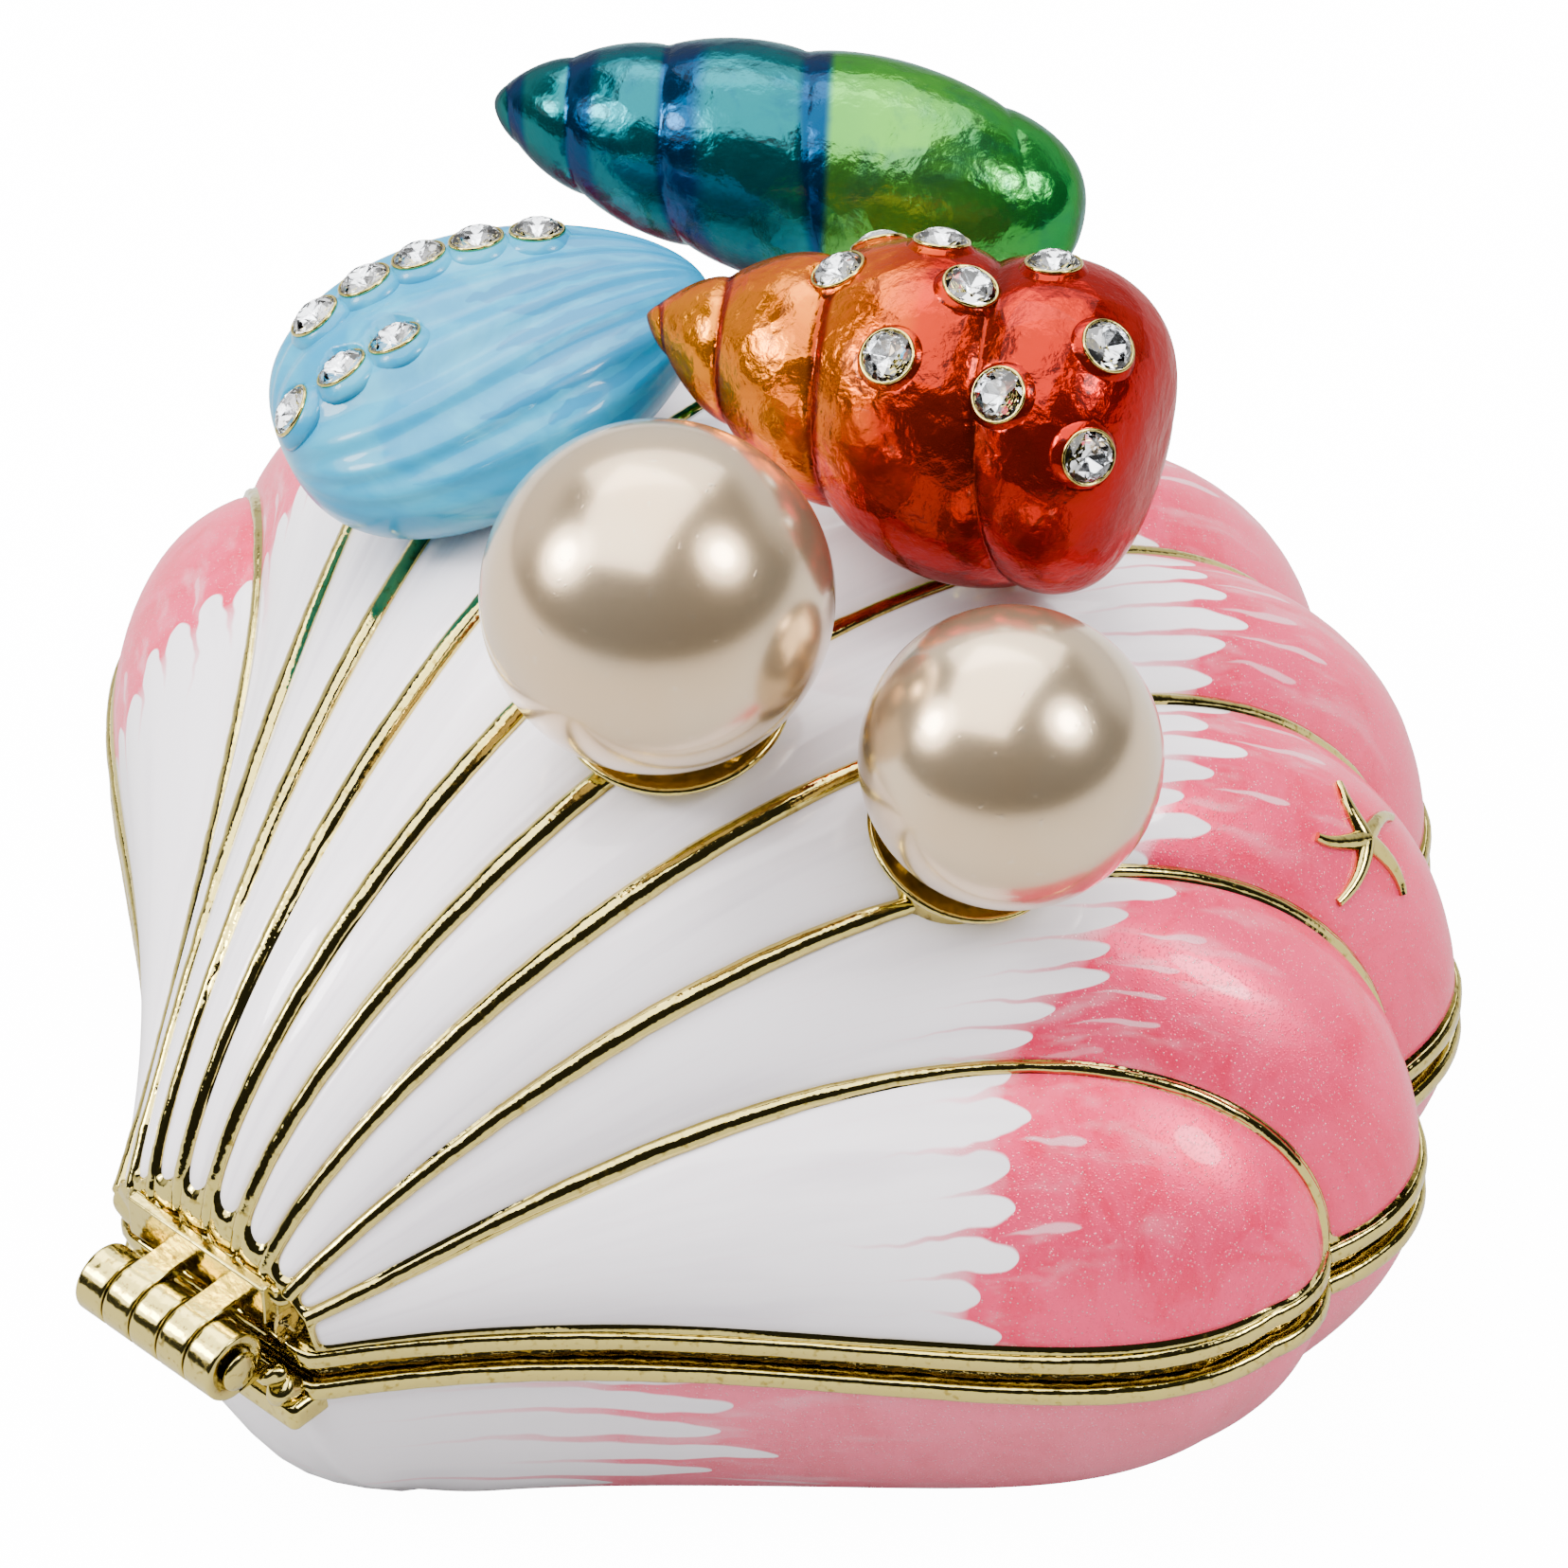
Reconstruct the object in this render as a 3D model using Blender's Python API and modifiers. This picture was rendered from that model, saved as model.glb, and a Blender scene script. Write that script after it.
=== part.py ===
# Shell box: a hinged trinket box cast as a scallop, with pearls and small shells on its lid.
# Metres, +Z up. The origin is the centre of the flat underside. The front, which opens,
# is at -Y, and the hinge is at the back, at +Y.
import math

import bmesh
import bpy
from mathutils import Matrix, Vector

MM = 0.001

# Heights above the underside
LID_LIP_Z = 14.2 * MM
BASE_LIP_Z = 12.4 * MM
LIP_HALF_HEIGHT = 0.42 * MM
LIP_REACH = 0.45 * MM
FLANGE_INSET = 1.0 * MM
LID_FLANGE_DROP = 0.8 * MM
BASE_FLANGE_RISE = 0.7 * MM

# The fan of ribs on the lid. Ribs are numbered from 0 in the middle to 4 at each side,
# and 5 is the rim beside the hinge.
RIB_COUNT_PER_SIDE = 4
FAN_CENTRE_Y = 37.5 * MM
UMBO_Y = 27.4 * MM
UMBO_HALF_WIDTH = 5.8 * MM
UMBO_STEP = math.radians(17.5)
UMBO_HEIGHT = 4.2 * MM
UMBO_FALL = 0.11 * MM
FAN_STEP = math.radians(9.2)
RIB_REACH = 68.5 * MM
RIB_REACH_FALL = 1.30 * MM
RIB_REACH_RISE = 0.021 * MM
DOME_HEIGHT = 19.1 * MM
DOME_FALL = 0.437 * MM
DOME_FALL_FAST = 0.0119 * MM
BACK_FULLNESS = 0.647
BACK_FULLNESS_STEP = 0.030
FRONT_FULLNESS = 0.522
FRONT_FULLNESS_STEP = 0.0053
RIB_HALF_WIDTH = 0.6 * MM
RIB_HEIGHT = 0.5 * MM
FLUTE_SWELL_BACK = 0.09
FLUTE_SWELL_FRONT = 0.24
LAST_FLUTE_SWELL = 0.15

# The rim beside the hinge: an S from the hinge out to the last cusp
SIDE_START = (5.6 * MM, 27.0 * MM)
SIDE_LEAVES = (17.4 * MM, 10.3 * MM)
SIDE_ARRIVES = (36.8 * MM, 7.2 * MM)
SIDE_SHARE = 0.88
BACK_EDGE_Y = 27.3 * MM
BACK_EDGE_HALF_WIDTH = 5.3 * MM

# Walls
BOX_MIDDLE_Y = -2.0 * MM
UNDERSIDE_MIDDLE_Y = 2.3 * MM
LID_INNER_SHARE = 0.93
LID_INNER_HEIGHT_SHARE = 0.915
BASE_INNER_SHARE = 0.93
FLOOR_THICKNESS = 1.6 * MM
UNDERSIDE_SHARE = 0.61
BOWL_POWER = 1.75
WAIST_DEPTH = 3.0 * MM
WAIST_Y = 7.0 * MM
WAIST_LENGTH = 6.0 * MM
BACK_ROUND = 3.5 * MM
BACK_ROUND_SHARE = 0.4
BACK_CORNER_X = 4.2 * MM
BACK_ROUND_STARTS_Y = 19.0 * MM
BACK_ROUND_FULL_Y = 24.0 * MM

# Hinge
HINGE_Y = 30.0 * MM
HINGE_Z = 14.7 * MM
HINGE_LENGTH = 8.0 * MM
KNUCKLES = 5
KNUCKLE_GAP = 0.3 * MM
BARREL_RADIUS = 1.55 * MM
BORE_RADIUS = 0.8 * MM
PIN_RADIUS = 0.6 * MM
PIN_HEAD_RADIUS = 1.0 * MM
PIN_HEAD_THICKNESS = 0.35 * MM
LEAF_THICKNESS = 0.55 * MM
BASE_LEAF_Y = 28.35 * MM
LID_LEAF_Y = 28.0 * MM
BASE_LEAF_PLATE = (12.6 * MM, 13.45 * MM)
BASE_LEAF_TONGUES = (12.9 * MM, 14.0 * MM)
LID_LEAF_PLATE = (15.9 * MM, 17.9 * MM)
LID_LEAF_TONGUES = (15.4 * MM, 16.3 * MM)
BRACKET_HALF_WIDTH = 5.7 * MM
BRACKET_ROOT_Y = 24.6 * MM
BRACKET_BOTTOM_Z = 10.6 * MM
BRACKET_BELOW_LIP = 0.1 * MM

# Pearls on the lid
LARGE_PEARL_RADIUS = 7.1 * MM
LARGE_PEARL_AT = (-6.2 * MM, 6.6 * MM, 42.4 * MM)
SMALL_PEARL_RADIUS = 6.1 * MM
SMALL_PEARL_AT = (-19.2 * MM, 0.0 * MM, 37.3 * MM)
LARGE_PEARL_LEAN = (-0.15, 0.25, 1.0)
SMALL_PEARL_LEAN = (-0.45, 0.0, 1.0)
PEARL_SEAT_GAP = 0.3 * MM
PEARL_CUP_ROOT = 2.6 * MM

# Each pearl's cup, in shares of the pearl's radius
CUP_MOUTH_DEPTH = 0.97
CUP_MOUTH_RADIUS = 0.68
CUP_FOOT_RADIUS = 0.54

# Small shells on the lid: where each spire starts, which way it points and its size
ORANGE_TIP = (5.3 * MM, -4.6 * MM, 43.8 * MM)
ORANGE_AXIS = (-0.916, -0.393, -0.09)
ORANGE_LENGTH = 22.0 * MM
ORANGE_RADIUS = 7.2 * MM
TEAL_TIP = (23.6 * MM, -13.8 * MM, 40.0 * MM)
TEAL_AXIS = (-0.889, -0.457, -0.05)
TEAL_LENGTH = 26.0 * MM
TEAL_RADIUS = 5.2 * MM
COCKLE_UMBO = (8.0 * MM, -10.7 * MM, 40.5 * MM)
COCKLE_AXIS = (0.44, 0.87, -0.21)
COCKLE_LENGTH = 19.0 * MM
COCKLE_HALF_WIDTH = 7.7 * MM
COCKLE_HALF_THICKNESS = 4.1 * MM
COCKLE_RIBS = 9
COCKLE_RIB_DEPTH = 0.05

# Solder posts under the small shells: place in plan, height of the top, radius and length
SHELL_POSTS = {
    "orange": (-8.0 * MM, -10.4 * MM, 35.3 * MM, 1.6 * MM, 2.5 * MM),
    "teal_near": (12.0 * MM, -19.8 * MM, 34.0 * MM, 1.4 * MM, 5.0 * MM),
    "teal_far": (4.0 * MM, -23.9 * MM, 33.8 * MM, 1.4 * MM, 5.0 * MM),
    "cockle_near": (14.0 * MM, 1.0 * MM, 33.3 * MM, 1.4 * MM, 2.5 * MM),
    "cockle_far": (12.0 * MM, -3.0 * MM, 34.1 * MM, 1.4 * MM, 2.5 * MM),
}
POST_FLARE = 1.3

# Cut crystals. Each place is the share of the way from tip to foot and the turn in degrees.
CRYSTAL_RADIUS = 1.1 * MM
CRYSTAL_TABLE_RADIUS = 0.66 * MM
CRYSTAL_HEIGHT = 0.5 * MM
CRYSTAL_GAP = 0.3 * MM
ORANGE_CRYSTALS = (
    (0.36, 86), (0.38, 38), (0.53, 128), (0.52, 66), (0.62, 92),
    (0.75, 130), (0.74, 70), (0.90, 100), (0.93, 142),
)
COCKLE_ROW_BACK = 120
COCKLE_ROW_FRONT = 86
COCKLE_ROW_STEP = 0.13

# The small starfish raised on one flute
STAR_FLUTE = -3
STAR_ACROSS = 0.43
STAR_SHARE = 0.93
STAR_REACH = 3.1 * MM
STAR_SHOULDER = 1.7 * MM
STAR_VALLEY = 0.75 * MM
STAR_RISE = 0.45 * MM
STAR_TURN = 20
STAR_ARM_SPREAD = 12


def clear_scene():
    for item in list(bpy.data.objects):
        bpy.data.objects.remove(item, do_unlink=True)


def new_collection(name):
    collection = bpy.data.collections.new(name)
    bpy.context.scene.collection.children.link(collection)
    return collection


def make_material(name, colour, roughness, metallic):
    material = bpy.data.materials.new(name)
    material.use_nodes = True
    shader = material.node_tree.nodes["Principled BSDF"]
    shader.inputs["Base Color"].default_value = (*colour, 1.0)
    shader.inputs["Roughness"].default_value = roughness
    shader.inputs["Metallic"].default_value = metallic
    return material


def clamp(value):
    return min(max(value, 0.0), 1.0)


def lerp(a, b, share):
    return a + (b - a) * share


# The side rim as a cubic curve in plan, mirrored by the sign of side
def side_rim(share, side):
    last_cusp = rib_point(RIB_COUNT_PER_SIDE, 1.0)
    p0, p1, p2 = Vector(SIDE_START), Vector(SIDE_LEAVES), Vector(SIDE_ARRIVES)
    p3 = Vector((last_cusp.x, last_cusp.y))
    back = 1.0 - share
    at = p0 * back ** 3 + p1 * 3 * back * back * share + p2 * 3 * back * share * share + p3 * share ** 3
    return Vector((side * at.x, at.y, LID_LIP_Z + LIP_HALF_HEIGHT))


# A rib is a ray of the fan in plan and a lopsided arch in profile. share runs from the
# umbo to the rim.
def rib_point(number, share):
    side = -1.0 if number < 0 else 1.0
    k = abs(number)
    if k > RIB_COUNT_PER_SIDE:
        return side_rim(share * SIDE_SHARE, side)
    start = Vector((UMBO_HALF_WIDTH * math.sin(UMBO_STEP * k), UMBO_Y - FAN_CENTRE_Y))
    start_angle = math.atan2(start.x, -start.y)
    reach = lerp(start.length, RIB_REACH - RIB_REACH_FALL * k ** 2 + RIB_REACH_RISE * k ** 4, share)
    angle = lerp(start_angle, FAN_STEP * k, share * share)
    back = BACK_FULLNESS + BACK_FULLNESS_STEP * k ** 2
    front = FRONT_FULLNESS - FRONT_FULLNESS_STEP * k ** 2
    crest = back / (back + front)
    arch = (share / crest) ** back * ((1.0 - share) / (1.0 - crest)) ** front
    height = (DOME_HEIGHT - DOME_FALL * k ** 2 - DOME_FALL_FAST * k ** 4) * arch
    height += (UMBO_HEIGHT - UMBO_FALL * k ** 2) * (1.0 - share) + LIP_HALF_HEIGHT * share
    x = side * reach * math.sin(angle)
    y = FAN_CENTRE_Y - reach * math.cos(angle)
    return Vector((x, y, LID_LIP_Z + height))


# The straight skin between two ribs, before its flute swells
def chord_point(flute, across, share):
    return rib_point(flute, share).lerp(rib_point(flute + 1, share), across)


def skin_normal(flute, across, share):
    step = 0.01
    nearer, farther = max(share - step, 0.0), min(share + step, 1.0)
    along = chord_point(flute, across, farther) - chord_point(flute, across, nearer)
    sideways = rib_point(flute + 1, share) - rib_point(flute, share)
    normal = along.cross(sideways)
    if share >= 1.0:
        normal.z = 0.0
    return normal.normalized()


# A point of the lid's outer skin, in flute number -5 to 4, across it from 0 to 1
def lid_point(flute, across, share, swell=1.0, rib=0.0):
    width = (rib_point(flute + 1, share) - rib_point(flute, share)).length
    fullness = lerp(FLUTE_SWELL_BACK, FLUTE_SWELL_FRONT, share ** 4)
    if flute in (-RIB_COUNT_PER_SIDE - 1, RIB_COUNT_PER_SIDE):
        fullness = LAST_FLUTE_SWELL
    rise = swell * fullness * width * 4.0 * across * (1.0 - across) + rib
    return chord_point(flute, across, share) + skin_normal(flute, across, share) * rise


# Columns across the lid. Each flute has a rib crest, then a foot, the swell and a foot.
def lid_columns(steps, ribbed):
    columns = []
    for flute in range(-RIB_COUNT_PER_SIDE - 1, RIB_COUNT_PER_SIDE + 1):
        if ribbed:
            columns.append((flute, "crest"))
            columns.extend((flute, step / steps) for step in range(steps + 1))
        else:
            columns.extend((flute, step / steps) for step in range(steps))
    columns.append((RIB_COUNT_PER_SIDE, "end"))
    return columns


def column_point(column, share, ribbed):
    flute, place = column
    if place == "crest":
        inner = abs(flute) <= RIB_COUNT_PER_SIDE and share < 1.0
        return lid_point(flute, 0.0, share, rib=RIB_HEIGHT if inner else 0.0)
    if place == "end":
        return lid_point(flute, 1.0, share)
    if not ribbed:
        return lid_point(flute, place, share)
    width = (rib_point(flute + 1, share) - rib_point(flute, share)).length
    foot = min(0.25, RIB_HALF_WIDTH / width)
    return lid_point(flute, lerp(foot, 1.0 - foot, place), share)


def back_edge_point(column, columns):
    share = columns.index(column) / (len(columns) - 1)
    x = lerp(-BACK_EDGE_HALF_WIDTH, BACK_EDGE_HALF_WIDTH, share)
    return Vector((x, BACK_EDGE_Y, LID_LIP_Z + LIP_HALF_HEIGHT))


# A sheet with one column a place across the fan and one row a step from rim to umbo
def fan_sheet(bm, columns, rows, ribbed):
    bmesh.ops.create_grid(bm, x_segments=len(columns) - 1, y_segments=rows, size=1.0)
    for vert in bm.verts:
        column = columns[round((vert.co.x + 1.0) / 2.0 * (len(columns) - 1))]
        row = round((vert.co.y + 1.0) / 2.0 * rows)
        if row == rows:
            vert.co = back_edge_point(column, columns)
        else:
            share = 0.5 + 0.5 * math.cos(math.pi * row / (rows - 1))
            vert.co = column_point(column, share, ribbed)


def open_loop(bm):
    edges = [edge for edge in bm.edges if edge.is_boundary]
    first = edges[0].verts[0]
    loop, previous, current = [first], None, first
    while True:
        links = [edge for edge in current.link_edges if edge.is_boundary]
        following = [edge.other_vert(current) for edge in links if edge.other_vert(current) != previous]
        step = following[0]
        if step == first:
            return loop
        loop.append(step)
        previous, current = current, step


def plan_normals(points):
    normals = []
    total = len(points)
    area = sum(points[i - 1].x * points[i].y - points[i].x * points[i - 1].y for i in range(total))
    turn = 1.0 if area > 0 else -1.0
    for i, point in enumerate(points):
        before = (point - points[i - 1]).to_2d().normalized()
        after = (points[(i + 1) % total] - point).to_2d().normalized()
        along = (before + after).normalized()
        normals.append(Vector((along.y, -along.x, 0.0)) * turn)
    return normals


# Rings below or above an open edge. Each step gives the reach and the height. An outward
# reach is square to the outline, and an inward one goes toward the middle of the box.
def add_rings(bm, steps):
    loop = open_loop(bm)
    outline = [vert.co.copy() for vert in loop]
    normals = plan_normals(outline)
    for reach, height in steps:
        edges = [edge for edge in bm.edges if edge.is_boundary]
        grown = bmesh.ops.extrude_edge_only(bm, edges=edges)["geom"]
        fresh = {item for item in grown if isinstance(item, bmesh.types.BMVert)}
        following = []
        for vert in loop:
            ends = [edge.other_vert(vert) for edge in vert.link_edges]
            following.append(next(end for end in ends if end in fresh))
        for vert, point, normal in zip(following, outline, normals):
            outward = Vector((point.x, point.y - BOX_MIDDLE_Y, 0.0)).normalized()
            vert.co = Vector((point.x, point.y, 0.0)) + (normal if reach > 0.0 else outward) * reach
            vert.co.z = height
        loop = following


def close_end(bm):
    edges = [edge for edge in bm.edges if edge.is_boundary]
    bmesh.ops.contextual_create(bm, geom=edges)
    bmesh.ops.recalc_face_normals(bm, faces=bm.faces)


def add_object(name, bm, collection, material=None):
    mesh = bpy.data.meshes.new(name)
    bm.to_mesh(mesh)
    bm.free()
    item = bpy.data.objects.new(name, mesh)
    collection.objects.link(item)
    if material:
        mesh.materials.append(material)
    return item


def shade_round(item):
    for face in item.data.polygons:
        face.use_smooth = True


def as_cutter(item):
    item.hide_render = True
    item.display_type = "WIRE"
    return item


# One Boolean step on an object, kept as a modifier
def combine(item, other, operation):
    modifier = item.modifiers.new(other.name, "BOOLEAN")
    modifier.operation = operation
    modifier.solver = "EXACT"
    modifier.object = other
    as_cutter(other)


def cylinder(name, collection, radius, length, centre, axis, radius_end=None, sides=20):
    bm = bmesh.new()
    end = radius if radius_end is None else radius_end
    bmesh.ops.create_cone(bm, cap_ends=True, segments=sides, radius1=radius, radius2=end, depth=length)
    item = add_object(name, bm, collection)
    item.rotation_mode = "QUATERNION"
    item.rotation_quaternion = Vector(axis).to_track_quat("Z", "Y")
    item.location = centre
    return item


def block(name, collection, low, high):
    bm = bmesh.new()
    bmesh.ops.create_cube(bm, size=1.0)
    low, high = Vector(low), Vector(high)
    for vert in bm.verts:
        vert.co = Vector(lerp(low[i], high[i], vert.co[i] + 0.5) for i in range(3))
    return add_object(name, bm, collection)


def ball(name, collection, radius, centre, around=16, rings=10):
    bm = bmesh.new()
    bmesh.ops.create_uvsphere(bm, u_segments=around, v_segments=rings, radius=radius)
    item = add_object(name, bm, collection)
    item.location = centre
    shade_round(item)
    return item


# The lid's outer body, from the fluted skin down to its gold lip and flange
def lid_body(parts):
    bm = bmesh.new()
    fan_sheet(bm, lid_columns(3, True), 12, True)
    add_rings(bm, [
        (LIP_REACH, LID_LIP_Z + 0.3 * MM),
        (LIP_REACH, LID_LIP_Z - LIP_HALF_HEIGHT),
        (-FLANGE_INSET, LID_LIP_Z - LIP_HALF_HEIGHT),
        (-FLANGE_INSET, LID_LIP_Z - LID_FLANGE_DROP),
    ])
    close_end(bm)
    return add_object("lid_shell", bm, parts)


# The hollow under the lid is the same fan drawn in toward the middle of the box
def lid_hollow(cutters):
    bm = bmesh.new()
    fan_sheet(bm, lid_columns(2, False), 9, False)
    middle = Vector((0.0, BOX_MIDDLE_Y, LID_LIP_Z))
    for vert in bm.verts:
        out = vert.co - middle
        inward = Vector((out.x * LID_INNER_SHARE, out.y * LID_INNER_SHARE, out.z * LID_INNER_HEIGHT_SHARE))
        vert.co = middle + inward
    add_rings(bm, [(0.0, LID_LIP_Z - 3.0 * MM)])
    close_end(bm)
    return add_object("lid_hollow", bm, cutters)


# The box's plan outline at the rim, one turn, with its lobes swollen by the given share
def rim_outline(lobe, across_steps, side_steps, back_steps):
    points = []
    for flute in range(-RIB_COUNT_PER_SIDE - 1, RIB_COUNT_PER_SIDE + 1):
        points.extend(lid_point(flute, i / across_steps, 1.0, swell=lobe) for i in range(across_steps))
    for i in range(side_steps):
        points.append(side_rim(SIDE_SHARE * (1.0 - i / side_steps), 1.0))
    for i in range(back_steps + 1):
        x = lerp(BACK_EDGE_HALF_WIDTH, -BACK_EDGE_HALF_WIDTH, i / back_steps)
        points.append(Vector((x, BACK_EDGE_Y, 0.0)))
    for i in range(side_steps):
        points.append(side_rim(SIDE_SHARE * i / side_steps, -1.0))
    return points


def outline_ring(bm, points):
    verts = [bm.verts.new(point) for point in points]
    for i, vert in enumerate(verts):
        bm.edges.new((vert, verts[(i + 1) % len(verts)]))
    return verts


# How far the narrow back end is pushed out at its middle and drawn in at its corners
def back_round(x, y):
    reach = clamp((y - BACK_ROUND_STARTS_Y) / (BACK_ROUND_FULL_Y - BACK_ROUND_STARTS_Y))
    corner = clamp((x / BACK_CORNER_X) ** 2)
    return BACK_ROUND * (BACK_ROUND_SHARE - corner) * reach ** 2 * (3.0 - 2.0 * reach)


# A bowl below an outline: rings shrink toward the middle along a quarter round
def bowl(bm, top_z, floor_z, share_at_floor, draw_in, rows, steps):
    loops = []
    for row in range(rows + 1):
        turn = 0.5 * math.pi * row / rows
        full = (1.0 - math.sin(turn) ** BOWL_POWER) ** (1.0 / BOWL_POWER)
        share = draw_in * lerp(share_at_floor, 1.0, full)
        middle_y = lerp(UNDERSIDE_MIDDLE_Y, BOX_MIDDLE_Y, full)
        points = []
        for point in rim_outline(lerp(0.35, 1.0, full), *steps):
            x = point.x * share
            y = middle_y + (point.y - BOX_MIDDLE_Y) * share
            waist = math.exp(-((y - WAIST_Y) / WAIST_LENGTH) ** 2) * WAIST_DEPTH * (1.0 - full)
            y += back_round(x, y) * (1.0 - full)
            x -= math.copysign(min(waist, abs(x)), x)
            points.append(Vector((x, y, lerp(top_z, floor_z, math.sin(turn)))))
        loops.append(outline_ring(bm, points))
    for upper, lower in zip(loops, loops[1:]):
        count = len(upper)
        for i in range(count):
            j = (i + 1) % count
            bm.faces.new((upper[i], upper[j], lower[j], lower[i]))
    bm.faces.new(loops[-1])


# The base's outer body: the bowl, its gold lip and the flange that the lid sits over
def base_body(parts):
    bm = bmesh.new()
    bowl(bm, BASE_LIP_Z - LIP_HALF_HEIGHT, 0.0, UNDERSIDE_SHARE, 1.0, 6, (3, 7, 2))
    add_rings(bm, [
        (LIP_REACH, BASE_LIP_Z - 0.3 * MM),
        (LIP_REACH, BASE_LIP_Z + LIP_HALF_HEIGHT),
        (-FLANGE_INSET, BASE_LIP_Z + LIP_HALF_HEIGHT),
        (-FLANGE_INSET, BASE_LIP_Z + BASE_FLANGE_RISE),
    ])
    close_end(bm)
    return add_object("base_shell", bm, parts)


def base_hollow(cutters):
    bm = bmesh.new()
    bowl(bm, BASE_LIP_Z, FLOOR_THICKNESS, UNDERSIDE_SHARE, BASE_INNER_SHARE, 4, (2, 4, 1))
    add_rings(bm, [(0.0, BASE_LIP_Z + 4.0 * MM)])
    close_end(bm)
    return add_object("base_hollow", bm, cutters)


# The cast ledge below the hinge
def base_bracket(cutters):
    low = (-BRACKET_HALF_WIDTH, BRACKET_ROOT_Y, BRACKET_BOTTOM_Z)
    high = (BRACKET_HALF_WIDTH, BASE_LEAF_Y + LEAF_THICKNESS / 2.0, BASE_LIP_Z - BRACKET_BELOW_LIP)
    return block("base_bracket", cutters, low, high)


# The cup that holds a pearl: a flared dish on the lid, hollowed by the pearl and its gap
def pearl_cup(lid, name, cutters, centre, radius, lean):
    axis = Vector(lean).normalized()
    foot, mouth = radius + PEARL_CUP_ROOT, radius * CUP_MOUTH_DEPTH
    middle = Vector(centre) - axis * (foot + mouth) / 2.0
    cup = cylinder(name + "_cup", cutters, radius * CUP_FOOT_RADIUS, foot - mouth, middle, axis,
                   radius * CUP_MOUTH_RADIUS, 16)
    seat = ball(name + "_seat", cutters, radius + PEARL_SEAT_GAP, centre, 24, 14)
    combine(cup, as_cutter(seat), "DIFFERENCE")
    combine(lid, cup, "UNION")


# The knuckles, tongues and plate of one half of the hinge, with the bore cut through
def hinge_leaf(name, collection, cutters, numbers, y, plate, tongues):
    length = HINGE_LENGTH / KNUCKLES
    half = HINGE_LENGTH / 2.0
    low = (-half, y - LEAF_THICKNESS / 2.0, plate[0])
    high = (half, y + LEAF_THICKNESS / 2.0, plate[1])
    leaf = block(name, collection, low, high)
    for number in numbers:
        x = -half + length * (number + 0.5)
        reach = (length - KNUCKLE_GAP) / 2.0
        tag = name + "_" + str(number)
        tongue_low = (x - reach, y, tongues[0])
        tongue_high = (x + reach, HINGE_Y, tongues[1])
        combine(leaf, block(tag + "_tongue", cutters, tongue_low, tongue_high), "UNION")
        centre = (x, HINGE_Y, HINGE_Z)
        knuckle = cylinder(tag + "_knuckle", cutters, BARREL_RADIUS, reach * 2.0, centre, (1, 0, 0))
        combine(leaf, knuckle, "UNION")
    axis_at = (0.0, HINGE_Y, HINGE_Z)
    bore = cylinder(name + "_bore", cutters, BORE_RADIUS, HINGE_LENGTH * 1.5, axis_at, (1, 0, 0), sides=14)
    combine(leaf, bore, "DIFFERENCE")
    return leaf


# The pin is turned: a shaft between two riveted heads
def hinge_pin(parts):
    neck = HINGE_LENGTH / 2.0 + 0.1 * MM
    end = neck + PIN_HEAD_THICKNESS
    half_profile = ((0.0, end), (PIN_HEAD_RADIUS * 0.8, end), (PIN_HEAD_RADIUS, neck), (PIN_RADIUS, neck))
    profile = list(half_profile) + [(radius, -x) for radius, x in reversed(half_profile)]
    bm = bmesh.new()
    verts = [bm.verts.new((radius, 0.0, x)) for radius, x in profile]
    for first, second in zip(verts, verts[1:]):
        bm.edges.new((first, second))
    pin = add_object("hinge_pin", bm, parts)
    turned = pin.modifiers.new("turned", "SCREW")
    turned.axis = "Z"
    turned.steps = 14
    turned.render_steps = 14
    turned.use_merge_vertices = True
    turned.merge_threshold = 0.00001
    turned.use_normal_calculate = True
    turned.use_normal_flip = True
    turned.use_smooth_shade = True
    pin.rotation_euler = (0.0, math.pi / 2.0, 0.0)
    pin.location = (0.0, HINGE_Y, HINGE_Z)
    return pin


# A post that holds a small shell, from inside the lid's wall to just under the shell
def shell_post(lid, name, cutters, place):
    x, y, top, radius, length = place
    centre = (x, y, top - length / 2.0)
    post = cylinder(name + "_post", cutters, radius * POST_FLARE, length, centre, (0, 0, 1), radius, 12)
    combine(lid, post, "UNION")


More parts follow.
